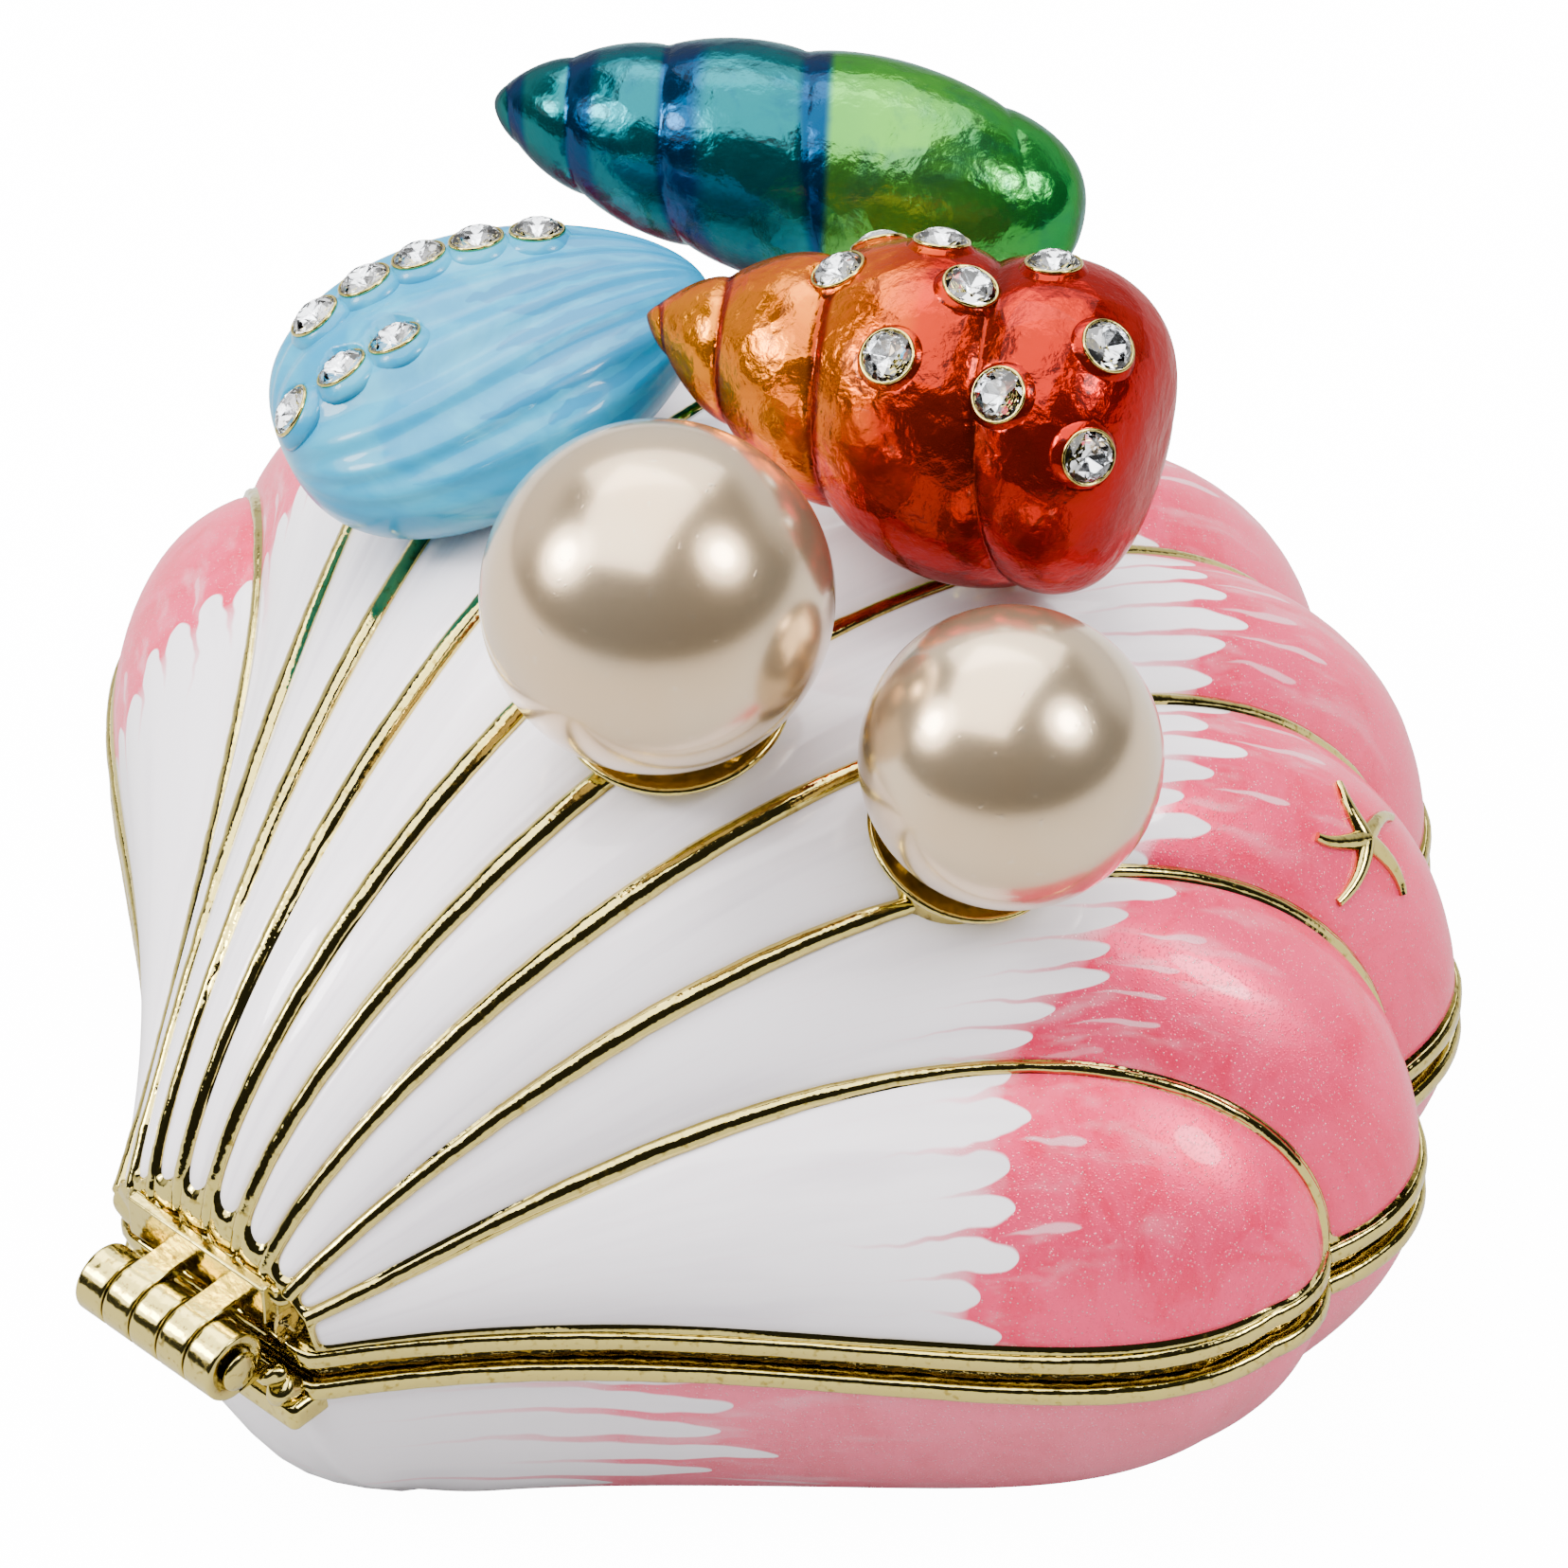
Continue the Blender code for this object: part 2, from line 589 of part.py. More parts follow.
# The starfish: a disc of 20 points drawn out into five arms and laid on the flute
def starfish(lid, cutters):
    step = 0.004
    across_size = (lid_point(STAR_FLUTE, STAR_ACROSS + step, STAR_SHARE)
                   - lid_point(STAR_FLUTE, STAR_ACROSS - step, STAR_SHARE)).length / (2.0 * step)
    share_size = (lid_point(STAR_FLUTE, STAR_ACROSS, STAR_SHARE + step)
                  - lid_point(STAR_FLUTE, STAR_ACROSS, STAR_SHARE - step)).length / (2.0 * step)
    bm = bmesh.new()
    levels = []
    for rise in (STAR_RISE, -STAR_RISE * 1.6):
        ring = []
        for i in range(20):
            arm, spoke = divmod(i, 4)
            turn = (0, STAR_ARM_SPREAD, 36, 72 - STAR_ARM_SPREAD)[spoke]
            turn = math.radians(72 * arm + turn + STAR_TURN)
            reach = (STAR_REACH, STAR_SHOULDER, STAR_VALLEY, STAR_SHOULDER)[spoke]
            across = STAR_ACROSS + reach * math.cos(turn) / across_size
            share = STAR_SHARE + reach * math.sin(turn) / share_size
            lift = rise * (0.6 if spoke == 0 and rise > 0 else 1.0)
            ring.append(bm.verts.new(lid_point(STAR_FLUTE, across, share, rib=lift)))
        middle = bm.verts.new(lid_point(STAR_FLUTE, STAR_ACROSS, STAR_SHARE, rib=rise * 1.2))
        levels.append((ring, middle))
    for ring, middle in levels:
        for i in range(20):
            bm.faces.new((middle, ring[i], ring[(i + 1) % 20]))
    for i in range(20):
        j = (i + 1) % 20
        bm.faces.new((levels[0][0][i], levels[0][0][j], levels[1][0][j], levels[1][0][i]))
    bmesh.ops.recalc_face_normals(bm, faces=bm.faces)
    combine(lid, add_object("starfish", bm, cutters), "UNION")


# A coiled shell about its own Z axis, from the tip at 0 to the foot at its length.
# Each turn bulges and meets the next in a groove that climbs as it goes round.
class SnailForm:
    def __init__(self, length, radius, point_power, foot_power, turns, groove):
        self.length, self.radius = length, radius
        self.point_power, self.foot_power = point_power, foot_power
        self.turns, self.groove = turns, groove

    def point(self, along, around):
        crest = self.point_power / (self.point_power + self.foot_power)
        body = (along / crest) ** self.point_power * ((1.0 - along) / (1.0 - crest)) ** self.foot_power
        phase = self.turns * math.log(1.0 + 5.0 * along) / math.log(6.0) - around / (2.0 * math.pi)
        bulge = 1.0 - self.groove * (1.0 - abs(math.sin(math.pi * phase)) ** 0.6)
        size = self.radius * body * bulge
        return Vector((size * math.cos(around), size * math.sin(around), self.length * along))


# A plump cockle about its own Z axis, from the umbo at 0 to the margin at its length
class CockleForm:
    def point(self, along, around):
        spread = (along / 0.6) ** 0.6 * ((1.0 - along) / 0.4) ** 0.4
        rib = 1.0 + COCKLE_RIB_DEPTH * math.cos(2 * COCKLE_RIBS * around) * max(math.sin(around), 0.0)
        x = COCKLE_HALF_WIDTH * spread * rib * math.cos(around)
        y = COCKLE_HALF_THICKNESS * spread * rib * math.sin(around)
        return Vector((x, y, COCKLE_LENGTH * along))


ORANGE_FORM = SnailForm(ORANGE_LENGTH, ORANGE_RADIUS, 0.75, 0.27, 4.0, 0.14)
TEAL_FORM = SnailForm(TEAL_LENGTH, TEAL_RADIUS, 0.60, 0.40, 4.5, 0.08)


# A shell is a sphere whose rings and spokes are moved onto its form
def shell(name, parts, material, form, tip, axis, around_steps, along_steps):
    bm = bmesh.new()
    bmesh.ops.create_uvsphere(bm, u_segments=around_steps, v_segments=along_steps, radius=1.0)
    for vert in bm.verts:
        along = min(max(0.5 - 0.5 * vert.co.z, 0.0), 1.0)
        vert.co = form.point(along, math.atan2(vert.co.y, vert.co.x))
    bmesh.ops.recalc_face_normals(bm, faces=bm.faces)
    item = add_object(name, bm, parts, material)
    shade_round(item)
    item.rotation_mode = "QUATERNION"
    item.rotation_quaternion = Vector(axis).to_track_quat("Z", "Y")
    item.location = tip
    return item


# A crystal stands square on its host's skin, over a hair's gap
def crystal(name, parts, material, host, form, along, turn):
    around, step = math.radians(turn), 0.03
    at = form.point(along, around)
    lengthwise = form.point(along + step, around) - form.point(along - step, around)
    crosswise = form.point(along, around + step) - form.point(along, around - step)
    normal = crosswise.cross(lengthwise).normalized()
    if normal.dot(Vector((at.x, at.y, 0.0))) < 0.0:
        normal = -normal
    bm = bmesh.new()
    bmesh.ops.create_cone(bm, cap_ends=True, segments=8, radius1=CRYSTAL_RADIUS,
                          radius2=CRYSTAL_TABLE_RADIUS, depth=CRYSTAL_HEIGHT)
    item = add_object(name, bm, parts, material)
    spin = host.rotation_quaternion
    item.rotation_mode = "QUATERNION"
    item.rotation_quaternion = spin @ normal.to_track_quat("Z", "Y")
    item.location = host.location + spin @ (at + normal * (CRYSTAL_GAP + CRYSTAL_HEIGHT / 2.0))
    return item


def ride_lid(item, hinge):
    item.parent = hinge
    item.matrix_parent_inverse = Matrix.Translation(hinge.location).inverted()


def main():
    clear_scene()
    parts = new_collection("shell_box")
    cutters = new_collection("cutters")
    gold = make_material("polished_gold", (0.86, 0.74, 0.45), 0.18, 1.0)
    enamel = make_material("white_and_pink_enamel", (0.93, 0.86, 0.88), 0.12, 0.0)
    pearl = make_material("pearl", (0.90, 0.86, 0.78), 0.22, 0.1)
    amber = make_material("orange_and_red_enamel", (0.75, 0.10, 0.03), 0.12, 0.6)
    teal = make_material("teal_and_green_enamel", (0.02, 0.36, 0.38), 0.12, 0.6)
    blue = make_material("light_blue_enamel", (0.28, 0.62, 0.82), 0.15, 0.0)
    glass = make_material("cut_crystal", (0.92, 0.94, 0.96), 0.05, 0.0)

    hinge = bpy.data.objects.new("lid_hinge_axis", None)
    hinge.location = (0.0, HINGE_Y, HINGE_Z)
    parts.objects.link(hinge)

    base = base_body(parts)
    base.data.materials.append(enamel)
    combine(base, base_bracket(cutters), "UNION")
    combine(base, base_hollow(cutters), "DIFFERENCE")

    lid = lid_body(parts)
    lid.data.materials.append(enamel)
    combine(lid, lid_hollow(cutters), "DIFFERENCE")
    pearl_cup(lid, "large", cutters, LARGE_PEARL_AT, LARGE_PEARL_RADIUS, LARGE_PEARL_LEAN)
    pearl_cup(lid, "small", cutters, SMALL_PEARL_AT, SMALL_PEARL_RADIUS, SMALL_PEARL_LEAN)

    leaf = hinge_leaf("hinge_leaf_base", parts, cutters, (0, 2, 4), BASE_LEAF_Y,
                      BASE_LEAF_PLATE, BASE_LEAF_TONGUES)
    leaf.data.materials.append(gold)
    leaf_lid = hinge_leaf("hinge_leaf_lid", parts, cutters, (1, 3), LID_LEAF_Y,
                          LID_LEAF_PLATE, LID_LEAF_TONGUES)
    leaf_lid.data.materials.append(gold)
    hinge_pin(parts).data.materials.append(gold)

    for name, place in SHELL_POSTS.items():
        shell_post(lid, name, cutters, place)
    starfish(lid, cutters)

    large = ball("pearl_large", parts, LARGE_PEARL_RADIUS, LARGE_PEARL_AT)
    small = ball("pearl_small", parts, SMALL_PEARL_RADIUS, SMALL_PEARL_AT)
    for item in (large, small):
        item.data.materials.append(pearl)
    orange = shell("snail_orange", parts, amber, ORANGE_FORM, ORANGE_TIP, ORANGE_AXIS, 20, 20)
    green = shell("snail_teal", parts, teal, TEAL_FORM, TEAL_TIP, TEAL_AXIS, 20, 20)
    cockle_form = CockleForm()
    cockle = shell("cockle_shell", parts, blue, cockle_form, COCKLE_UMBO, COCKLE_AXIS, 36, 11)

    crystals = []
    for number, (along, turn) in enumerate(ORANGE_CRYSTALS, 1):
        name = "crystal_orange_%d" % number
        crystals.append(crystal(name, parts, glass, orange, ORANGE_FORM, along, turn))
    cockle_places = [(0.30 + COCKLE_ROW_STEP * i, COCKLE_ROW_BACK) for i in range(5)]
    cockle_places += [(0.69 + COCKLE_ROW_STEP * i, COCKLE_ROW_FRONT) for i in range(3)]
    for number, (along, turn) in enumerate(cockle_places, 1):
        name = "crystal_cockle_%d" % number
        crystals.append(crystal(name, parts, glass, cockle, cockle_form, along, turn))

    for item in (lid, leaf_lid, large, small, orange, green, cockle, *crystals):
        ride_lid(item, hinge)


main()
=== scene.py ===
import functools
import math

import bmesh
import bpy
from mathutils import Matrix, Quaternion, Vector
from mathutils.noise import noise as noiseAt


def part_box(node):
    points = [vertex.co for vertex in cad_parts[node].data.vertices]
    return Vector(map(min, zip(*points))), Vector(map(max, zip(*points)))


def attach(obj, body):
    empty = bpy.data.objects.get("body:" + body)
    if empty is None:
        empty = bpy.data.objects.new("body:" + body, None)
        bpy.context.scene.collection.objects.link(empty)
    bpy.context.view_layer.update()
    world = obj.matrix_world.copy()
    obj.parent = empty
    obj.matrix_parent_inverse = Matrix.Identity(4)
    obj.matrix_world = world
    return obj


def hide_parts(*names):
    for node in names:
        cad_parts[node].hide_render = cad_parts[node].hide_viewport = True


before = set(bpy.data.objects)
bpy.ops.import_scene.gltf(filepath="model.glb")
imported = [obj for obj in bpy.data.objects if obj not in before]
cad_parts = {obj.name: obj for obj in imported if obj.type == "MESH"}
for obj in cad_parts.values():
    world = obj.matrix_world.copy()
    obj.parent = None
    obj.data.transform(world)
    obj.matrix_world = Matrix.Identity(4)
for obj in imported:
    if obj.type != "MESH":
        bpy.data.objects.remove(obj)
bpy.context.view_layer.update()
mm = 0.001
fullTurn = 2.0 * math.pi


# Node trees

# A number or a vector on its way through a node tree, so that a formula can be written as one
class Wire:
    def __init__(self, socket):
        self.socket, self.tree = socket, socket.id_data


def giveSign(sign, operation):
    setattr(Wire, f"__{sign}__", lambda self, other: calc(operation, self, other))
    setattr(Wire, f"__r{sign}__", lambda self, other: calc(operation, other, self))


for sign, operation in (("add", "ADD"), ("sub", "SUBTRACT"), ("mul", "MULTIPLY"), ("truediv", "DIVIDE"),
                        ("pow", "POWER")):
    giveSign(sign, operation)


def feed(socket, value):
    if isinstance(value, Wire):
        value.tree.links.new(value.socket, socket)
    else:
        socket.default_value = value


def addNode(tree, kind, feeds=None, **settings):
    made = tree.nodes.new(kind)
    for name, value in settings.items():
        setattr(made, name, value)
    for name, value in (feeds or {}).items():
        feed(made.inputs[name], value)
    return made


def outlet(tree, kind, feeds=None, output=0, **settings):  # one output of a new node
    return Wire(addNode(tree, kind, feeds, **settings).outputs[output])


def geo(tree, kind, feeds=None, output=0, **settings):
    return outlet(tree, "GeometryNode" + kind, feeds, output, **settings)


def treeOf(values):
    return next(value.tree for value in values if isinstance(value, Wire))


def calc(operation, *values):
    made = addNode(treeOf(values), "ShaderNodeMath", operation=operation)
    for socket, value in zip(made.inputs, values):
        feed(socket, value)
    return Wire(made.outputs[0])


sinOf, cosOf, absOf, rootOf, signOf, floorOf, minOf, maxOf, isOver, isUnder = (
    functools.partial(calc, operation) for operation in (
        "SINE", "COSINE", "ABSOLUTE", "SQRT", "SIGN", "FLOOR", "MINIMUM", "MAXIMUM", "GREATER_THAN",
        "LESS_THAN"))


def vec(operation, *values):
    made = addNode(treeOf(values), "ShaderNodeVectorMath", operation=operation)
    sockets = (made.inputs[0], made.inputs["Scale"]) if operation == "SCALE" else made.inputs
    for socket, value in zip(sockets, values):
        feed(socket, value)
    return Wire(made.outputs["Value" if operation in ("DISTANCE", "DOT_PRODUCT") else "Vector"])


def lerp(low, high, share):
    return (high - low) * share + low


def glide(start, end, share):  # lerp for vectors
    return vec("ADD", start, vec("SCALE", vec("SUBTRACT", end, start), share))


def clamp(value):
    return minOf(maxOf(value, 0.0), 1.0)


def ease(share):  # from 0 to 1, with rows closer together at both ends
    return 0.5 - cosOf(share * math.pi) * 0.5


def smooth(value, low, high):  # 0 below low, 1 above high, with soft ends
    feeds = {"Value": value, "From Min": low, "From Max": high}
    return outlet(value.tree, "ShaderNodeMapRange", feeds, interpolation_type="SMOOTHSTEP")


def compose(x, y, z=0.0):
    return outlet(treeOf((x, y, z)), "ShaderNodeCombineXYZ", {"X": x, "Y": y, "Z": z})


def split(wire):
    return [Wire(output) for output in addNode(wire.tree, "ShaderNodeSeparateXYZ", {0: wire}).outputs]


def socketKind(value):
    if value == "geometry":
        return "NodeSocketGeometry"
    if isinstance(value, type):
        return "NodeSocketObject"
    kinds = {float: "Float", int: "Int", tuple: "Vector", bpy.types.Material: "Material"}
    return "NodeSocket" + kinds[type(value)]


def newTree(kind, name, sizes, results):
    tree = bpy.data.node_groups.new(name, kind)
    for side, sockets in (("INPUT", sizes), ("OUTPUT", results)):
        for label, value in sockets.items():
            made = tree.interface.new_socket(label, in_out=side, socket_type=socketKind(value))
            if value != "geometry" and not isinstance(value, type):
                made.default_value = value
    start = tree.nodes.new("NodeGroupInput")
    end = tree.nodes.new("NodeGroupOutput")
    return tree, {label: Wire(start.outputs[label]) for label in sizes}, end


def shaderTree(name, sizes, results):
    return newTree("ShaderNodeTree", name, sizes, {label: 0.0 for label in results})


def shapeTree(name, sizes, results=None):
    return newTree("GeometryNodeTree", name, sizes, results or {"Geometry": "geometry"})


def useGroup(tree, group, feeds):
    kind = "GeometryNodeGroup" if tree.bl_idname == "GeometryNodeTree" else "ShaderNodeGroup"
    made = tree.nodes.new(kind)
    made.node_tree = group
    for name, value in feeds.items():
        feed(made.inputs[name], value)
    return {output.name: Wire(output) for output in made.outputs}


# The last steps of a geometry tree
def closeTree(tree, end, shape, material):
    shape = geo(tree, "SetShadeSmooth", {"Geometry": shape})
    shape = geo(tree, "RealizeInstances", {"Geometry": shape})
    shape = geo(tree, "SetMaterial", {"Geometry": shape, "Material": material})
    feed(end.inputs["Geometry"], shape)
    return tree


# A grid over a unit square, with its own x and y
def unitGrid(tree, columns, rows):
    grid = geo(tree, "MeshGrid", {"Size X": 1.0, "Size Y": 1.0, "Vertices X": columns, "Vertices Y": rows})
    x, y = split(geo(tree, "InputPosition"))[:2]
    return grid, x + 0.5, y + 0.5


# Keeps each grid point's place in its pattern, then moves the grid onto its form
def laySheet(tree, end, grid, label, place, domain, point, material):
    shape = geo(tree, "StoreNamedAttribute", {"Geometry": grid, "Name": label, "Value": place},
                data_type="FLOAT_VECTOR", domain=domain)
    shape = geo(tree, "SetPosition", {"Geometry": shape, "Position": point})
    return closeTree(tree, end, shape, material)


# Runs a geometry tree and keeps its result as a plain mesh
def grow(name, tree, sizes, points=None):
    mesh = points or bpy.data.meshes.new(name + "Start")
    carrier = addPiece(name + "Start", mesh)
    modifier = carrier.modifiers.new("grow", "NODES")
    modifier.node_group = tree
    for item in tree.interface.items_tree:
        if item.in_out == "INPUT" and item.name in sizes:
            modifier[item.identifier] = sizes[item.name]
    graph = bpy.context.evaluated_depsgraph_get()
    evaluated = carrier.evaluated_get(graph)
    result = bpy.data.meshes.new_from_object(evaluated, preserve_all_data_layers=True, depsgraph=graph)
    bpy.data.objects.remove(carrier)
    return addPiece(name, result)


def addPiece(name, mesh):
    mesh.name = name
    piece = bpy.data.objects.new(name, mesh)
    bpy.context.scene.collection.objects.link(piece)
    return piece


def meshFrom(bm, name, material=None):
    mesh = bpy.data.meshes.new(name)
    bm.to_mesh(mesh)
    bm.free()
    if material:
        mesh.materials.append(material)
    return mesh


# Hangs a piece on the body that it rides on and hides the CAD nodes that it stands for; the finish it is
# given is not used
def settle(piece, body, slot, *nodes):
    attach(piece, body)
    if nodes:
        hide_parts(*nodes)


# Joins touching points and turns faces away from the middle of the piece
def tidyMesh(piece):
    bm = bmesh.new()
    bm.from_mesh(piece.data)
    bmesh.ops.remove_doubles(bm, verts=bm.verts, dist=0.002 * mm)
    bmesh.ops.dissolve_degenerate(bm, edges=bm.edges, dist=0.0005 * mm)
    bmesh.ops.recalc_face_normals(bm, faces=bm.faces)
    middle = sum((vert.co for vert in bm.verts), Vector()) / len(bm.verts)
    facing = sum(face.calc_area() * face.normal.dot(face.calc_center_median() - middle) for face in bm.faces)
    if facing < 0.0:
        bmesh.ops.reverse_faces(bm, faces=bm.faces)
    bm.to_mesh(piece.data)
    bm.free()


# Gives a skin its thickness inwards, with gold on the inside
def giveWall(piece, thickness):
    piece.data.materials.append(innerGold)
    wall = piece.modifiers.new("wall", "SOLIDIFY")
    wall.thickness, wall.offset = thickness, -1.0
    wall.material_offset = wall.material_offset_rim = 1
    graph = bpy.context.evaluated_depsgraph_get()
    mesh = bpy.data.meshes.new_from_object(piece.evaluated_get(graph), depsgraph=graph)
    piece.modifiers.clear()
    piece.data = mesh
    mesh.name = piece.name


# Shader groups

def objectPlace(tree):
    return outlet(tree, "ShaderNodeTexCoord", output="Object")


def noise(place, scale, detail=3.0, roughness=0.5, distortion=0.0):
    feeds = {"Vector": place, "Scale": scale, "Detail": detail, "Roughness": roughness,
             "Distortion": distortion}
    return outlet(place.tree, "ShaderNodeTexNoise", feeds, "Fac")


def blend(share, low, high):  # mixes two colours
    made = addNode(share.tree, "ShaderNodeMix", data_type="RGBA")
    for index, value in ((0, share), (6, low), (7, high)):
        feed(made.inputs[index], value)
    return Wire(made.outputs[2])


# The soft waves and small dents of a polished casting
def makeCastFinish():
    tree, given, end = shaderTree("castFinish", {"Wave Size": 1.6, "Dent Size": 0.35}, ("Height", "Dull"))
    place = objectPlace(tree)
    waves = noise(place, 1.0 / mm / given["Wave Size"])
    dents = noise(place, 1.0 / mm / given["Dent Size"], 2.0)
    feed(end.inputs["Height"], waves + dents * 0.22)
    feed(end.inputs["Dull"], smooth(dents, 0.55, 0.75))
    return tree


# Crumpled foil under clear enamel: sharp creases between flat scraps
def makeFoil():
    tree, given, end = shaderTree("foil", {"Crease Size": 1.5}, ("Height", "Glint"))
    place = objectPlace(tree)
    scale = 1.0 / mm / given["Crease Size"]
    bend = outlet(tree, "ShaderNodeTexNoise", {"Vector": place, "Scale": scale}, "Color")
    bent = vec("ADD", place, vec("SCALE", bend, 0.8 * mm))
    feeds = {"Vector": bent, "Scale": scale}
    creases = outlet(tree, "ShaderNodeTexVoronoi", feeds, "Distance", feature="F1")
    fine = noise(bent, scale * 2.7, 4.0)
    feed(end.inputs["Height"], creases * 0.8 + fine * 0.5)
    feed(end.inputs["Glint"], smooth(fine, 0.52, 0.7))
    return tree


# Fine mica in pink enamel
def makeMica():
    tree, given, end = shaderTree("mica", {"Flake Size": 0.11}, ("Flake", "Height"))
    feeds = {"Vector": objectPlace(tree), "Scale": 1.0 / mm / given["Flake Size"]}
    cells = addNode(tree, "ShaderNodeTexVoronoi", feeds, feature="F1")
    chance = outlet(tree, "ShaderNodeSeparateColor", {"Color": Wire(cells.outputs["Color"])})
    centre = 1.0 - smooth(Wire(cells.outputs["Distance"]), 0.1, 0.5)
    feed(end.inputs["Flake"], smooth(chance, 0.72, 0.98) * centre)
    feed(end.inputs["Height"], chance * centre)
    return tree


# Combed colour: long round-ended fingers of one colour reach into a second, the gaps between
# them thin out behind their tips, and pale brush marks run on past them. Place holds fingers
# across and share along.
def makeCombing():
    sizes = {"Place": (0.0, 0.0, 0.0), "Start": 0.66, "Taper": 0.045, "Ragged": 0.045, "Gap": 0.20,
             "Gap Length": 0.12, "Wisp Length": 0.075, "Wisp": 0.42}
    tree, given, end = shaderTree("combing", sizes, ("Mask",))
    across, along = split(given["Place"])[:2]
    sway = noise(compose(across * 0.5, along * 12.0), 1.0, 2.0) - 0.5
    wandering = across + sway * 0.9
    off, chance = stripes(wandering, 3.0)
    gapOff, luck = stripes(wandering + 0.5, 17.0)
    tip = given["Start"] + (chance - 0.5) * given["Ragged"]
    behind = tip - along
    blunt = 1.0 - clamp(behind / given["Taper"])
    fingerHalf = rootOf(1.0 - blunt * blunt) * (1.0 - given["Gap"])
    pulled = (given["Start"] - given["Ragged"] * 0.5 - along) / (given["Gap Length"] * (luck + 0.35))
    closing = clamp(pulled)
    fingerHalf = fingerHalf + given["Gap"] * closing * 0.85 - isUnder(behind, 0.0) * 0.1
    body = smooth(off - fingerHalf, -0.08, 0.08) * (1.0 - closing ** 0.7 * 0.95)
    past = (along - given["Start"] + 0.012) / (given["Wisp Length"] * (luck * 0.8 + 0.5))
    bounded = clamp(past)
    markHalf = bounded * rootOf(1.0 - bounded ** 6.0) * 0.34
    mark = (1.0 - smooth(gapOff - markHalf, -0.10, 0.04)) * smooth(bounded, 0.0, 0.3)
    mark = mark * isUnder(past, 1.0) * smooth(luck, 0.35, 0.6)
    brushed = noise(compose(wandering * 1.6, along * 14.0, 4.0), 1.0, 3.0)
    soft = smooth(brushed, 0.48, 0.72) * (1.0 - smooth(past, 0.6, 3.0)) * 0.5
    feed(end.inputs["Mask"], body * (1.0 - maxOf(mark * given["Wisp"], soft * given["Wisp"])))
    return tree


# Unit stripes: how far a place is from its stripe's middle line, and the stripe's own chance
def stripes(place, seed):
    cell = floorOf(place)
    chance = outlet(place.tree, "ShaderNodeTexWhiteNoise", {"W": cell + seed}, noise_dimensions="1D")
    return absOf(place - cell - 0.5) * 2.0, chance


castFinish, foil, mica, combing = makeCastFinish(), makeFoil(), makeMica(), makeCombing()


# Materials

def newMaterial(name, colour, **plain):
    material = bpy.data.materials.new(name)
    material.use_nodes = True
    material.diffuse_color = (*colour, 1.0)
    shader = material.node_tree.nodes["Principled BSDF"]
    paint(shader, Base_Color=(*colour, 1.0), **plain)
    return material, material.node_tree, shader


def paint(shader, **feeds):
    for label, value in feeds.items():
        feed(shader.inputs[label.replace("_", " ")], value)


def bump(shader, height, depth):
    feeds = {"Height": height, "Distance": depth, "Strength": 1.0}
    feed(shader.inputs["Normal"], outlet(height.tree, "ShaderNodeBump", feeds, "Normal"))


def attribute(tree, name):
    return split(outlet(tree, "ShaderNodeAttribute", output="Vector", attribute_name=name))


golds = {
    "castGold": {"colour": (0.55, 0.45, 0.13), "dark": (0.34, 0.25, 0.05), "waveSize": 1.5,
                 "depth": 0.07 * mm, "roughness": (0.06, 0.20)},
    "innerGold": {"colour": (0.58, 0.43, 0.13), "dark": (0.42, 0.29, 0.08), "waveSize": 0.8,
                  "depth": 0.25 * mm, "roughness": (0.14, 0.4)},
    "hingeGold": {"colour": (0.54, 0.44, 0.13), "dark": (0.30, 0.22, 0.05), "waveSize": 0.9,
                  "depth": 0.03 * mm, "roughness": (0.13, 0.32)},
    "stoneFoil": {"colour": (0.90, 0.91, 0.93), "dark": (0.55, 0.56, 0.60), "waveSize": 0.5,
                  "depth": 0.02 * mm, "roughness": (0.08, 0.25)},
}


def makeGold(name, colour, dark, waveSize, depth, roughness):
    material, tree, shader = newMaterial(name, colour, Metallic=1.0)
    finish = useGroup(tree, castFinish, {"Wave Size": waveSize})
    tint = blend(finish["Dull"], (*colour, 1.0), (*dark, 1.0))
    paint(shader, Base_Color=tint, Roughness=lerp(*roughness, finish["Dull"]))
    bump(shader, finish["Height"], depth)
    return material


castGold, innerGold, hingeGold, stoneFoil = (makeGold(name, **look) for name, look in golds.items())

enamelColours = {
    "white": (0.86, 0.81, 0.85, 1.0),
    "shade": (0.66, 0.60, 0.66, 1.0),
    "pink": (0.84, 0.050, 0.140, 1.0),
    "rose": (0.76, 0.018, 0.085, 1.0),
    "palePink": (1.0, 0.52, 0.56, 1.0),
}
boxEnamels = {
    "lidEnamel": {"start": 0.85, "startFall": 0.0013, "fingers": 6.6, "grain": 5.0, "fullness": 1.0,
                  "teeth": {}},
    "baseEnamel": {"start": 0.40, "startFall": 0.0, "fingers": 4.2, "grain": 2.0, "fullness": 0.86,
                   "teeth": {"Taper": 0.07, "Ragged": 0.10, "Gap": 0.26, "Gap Length": 0.20}},
}


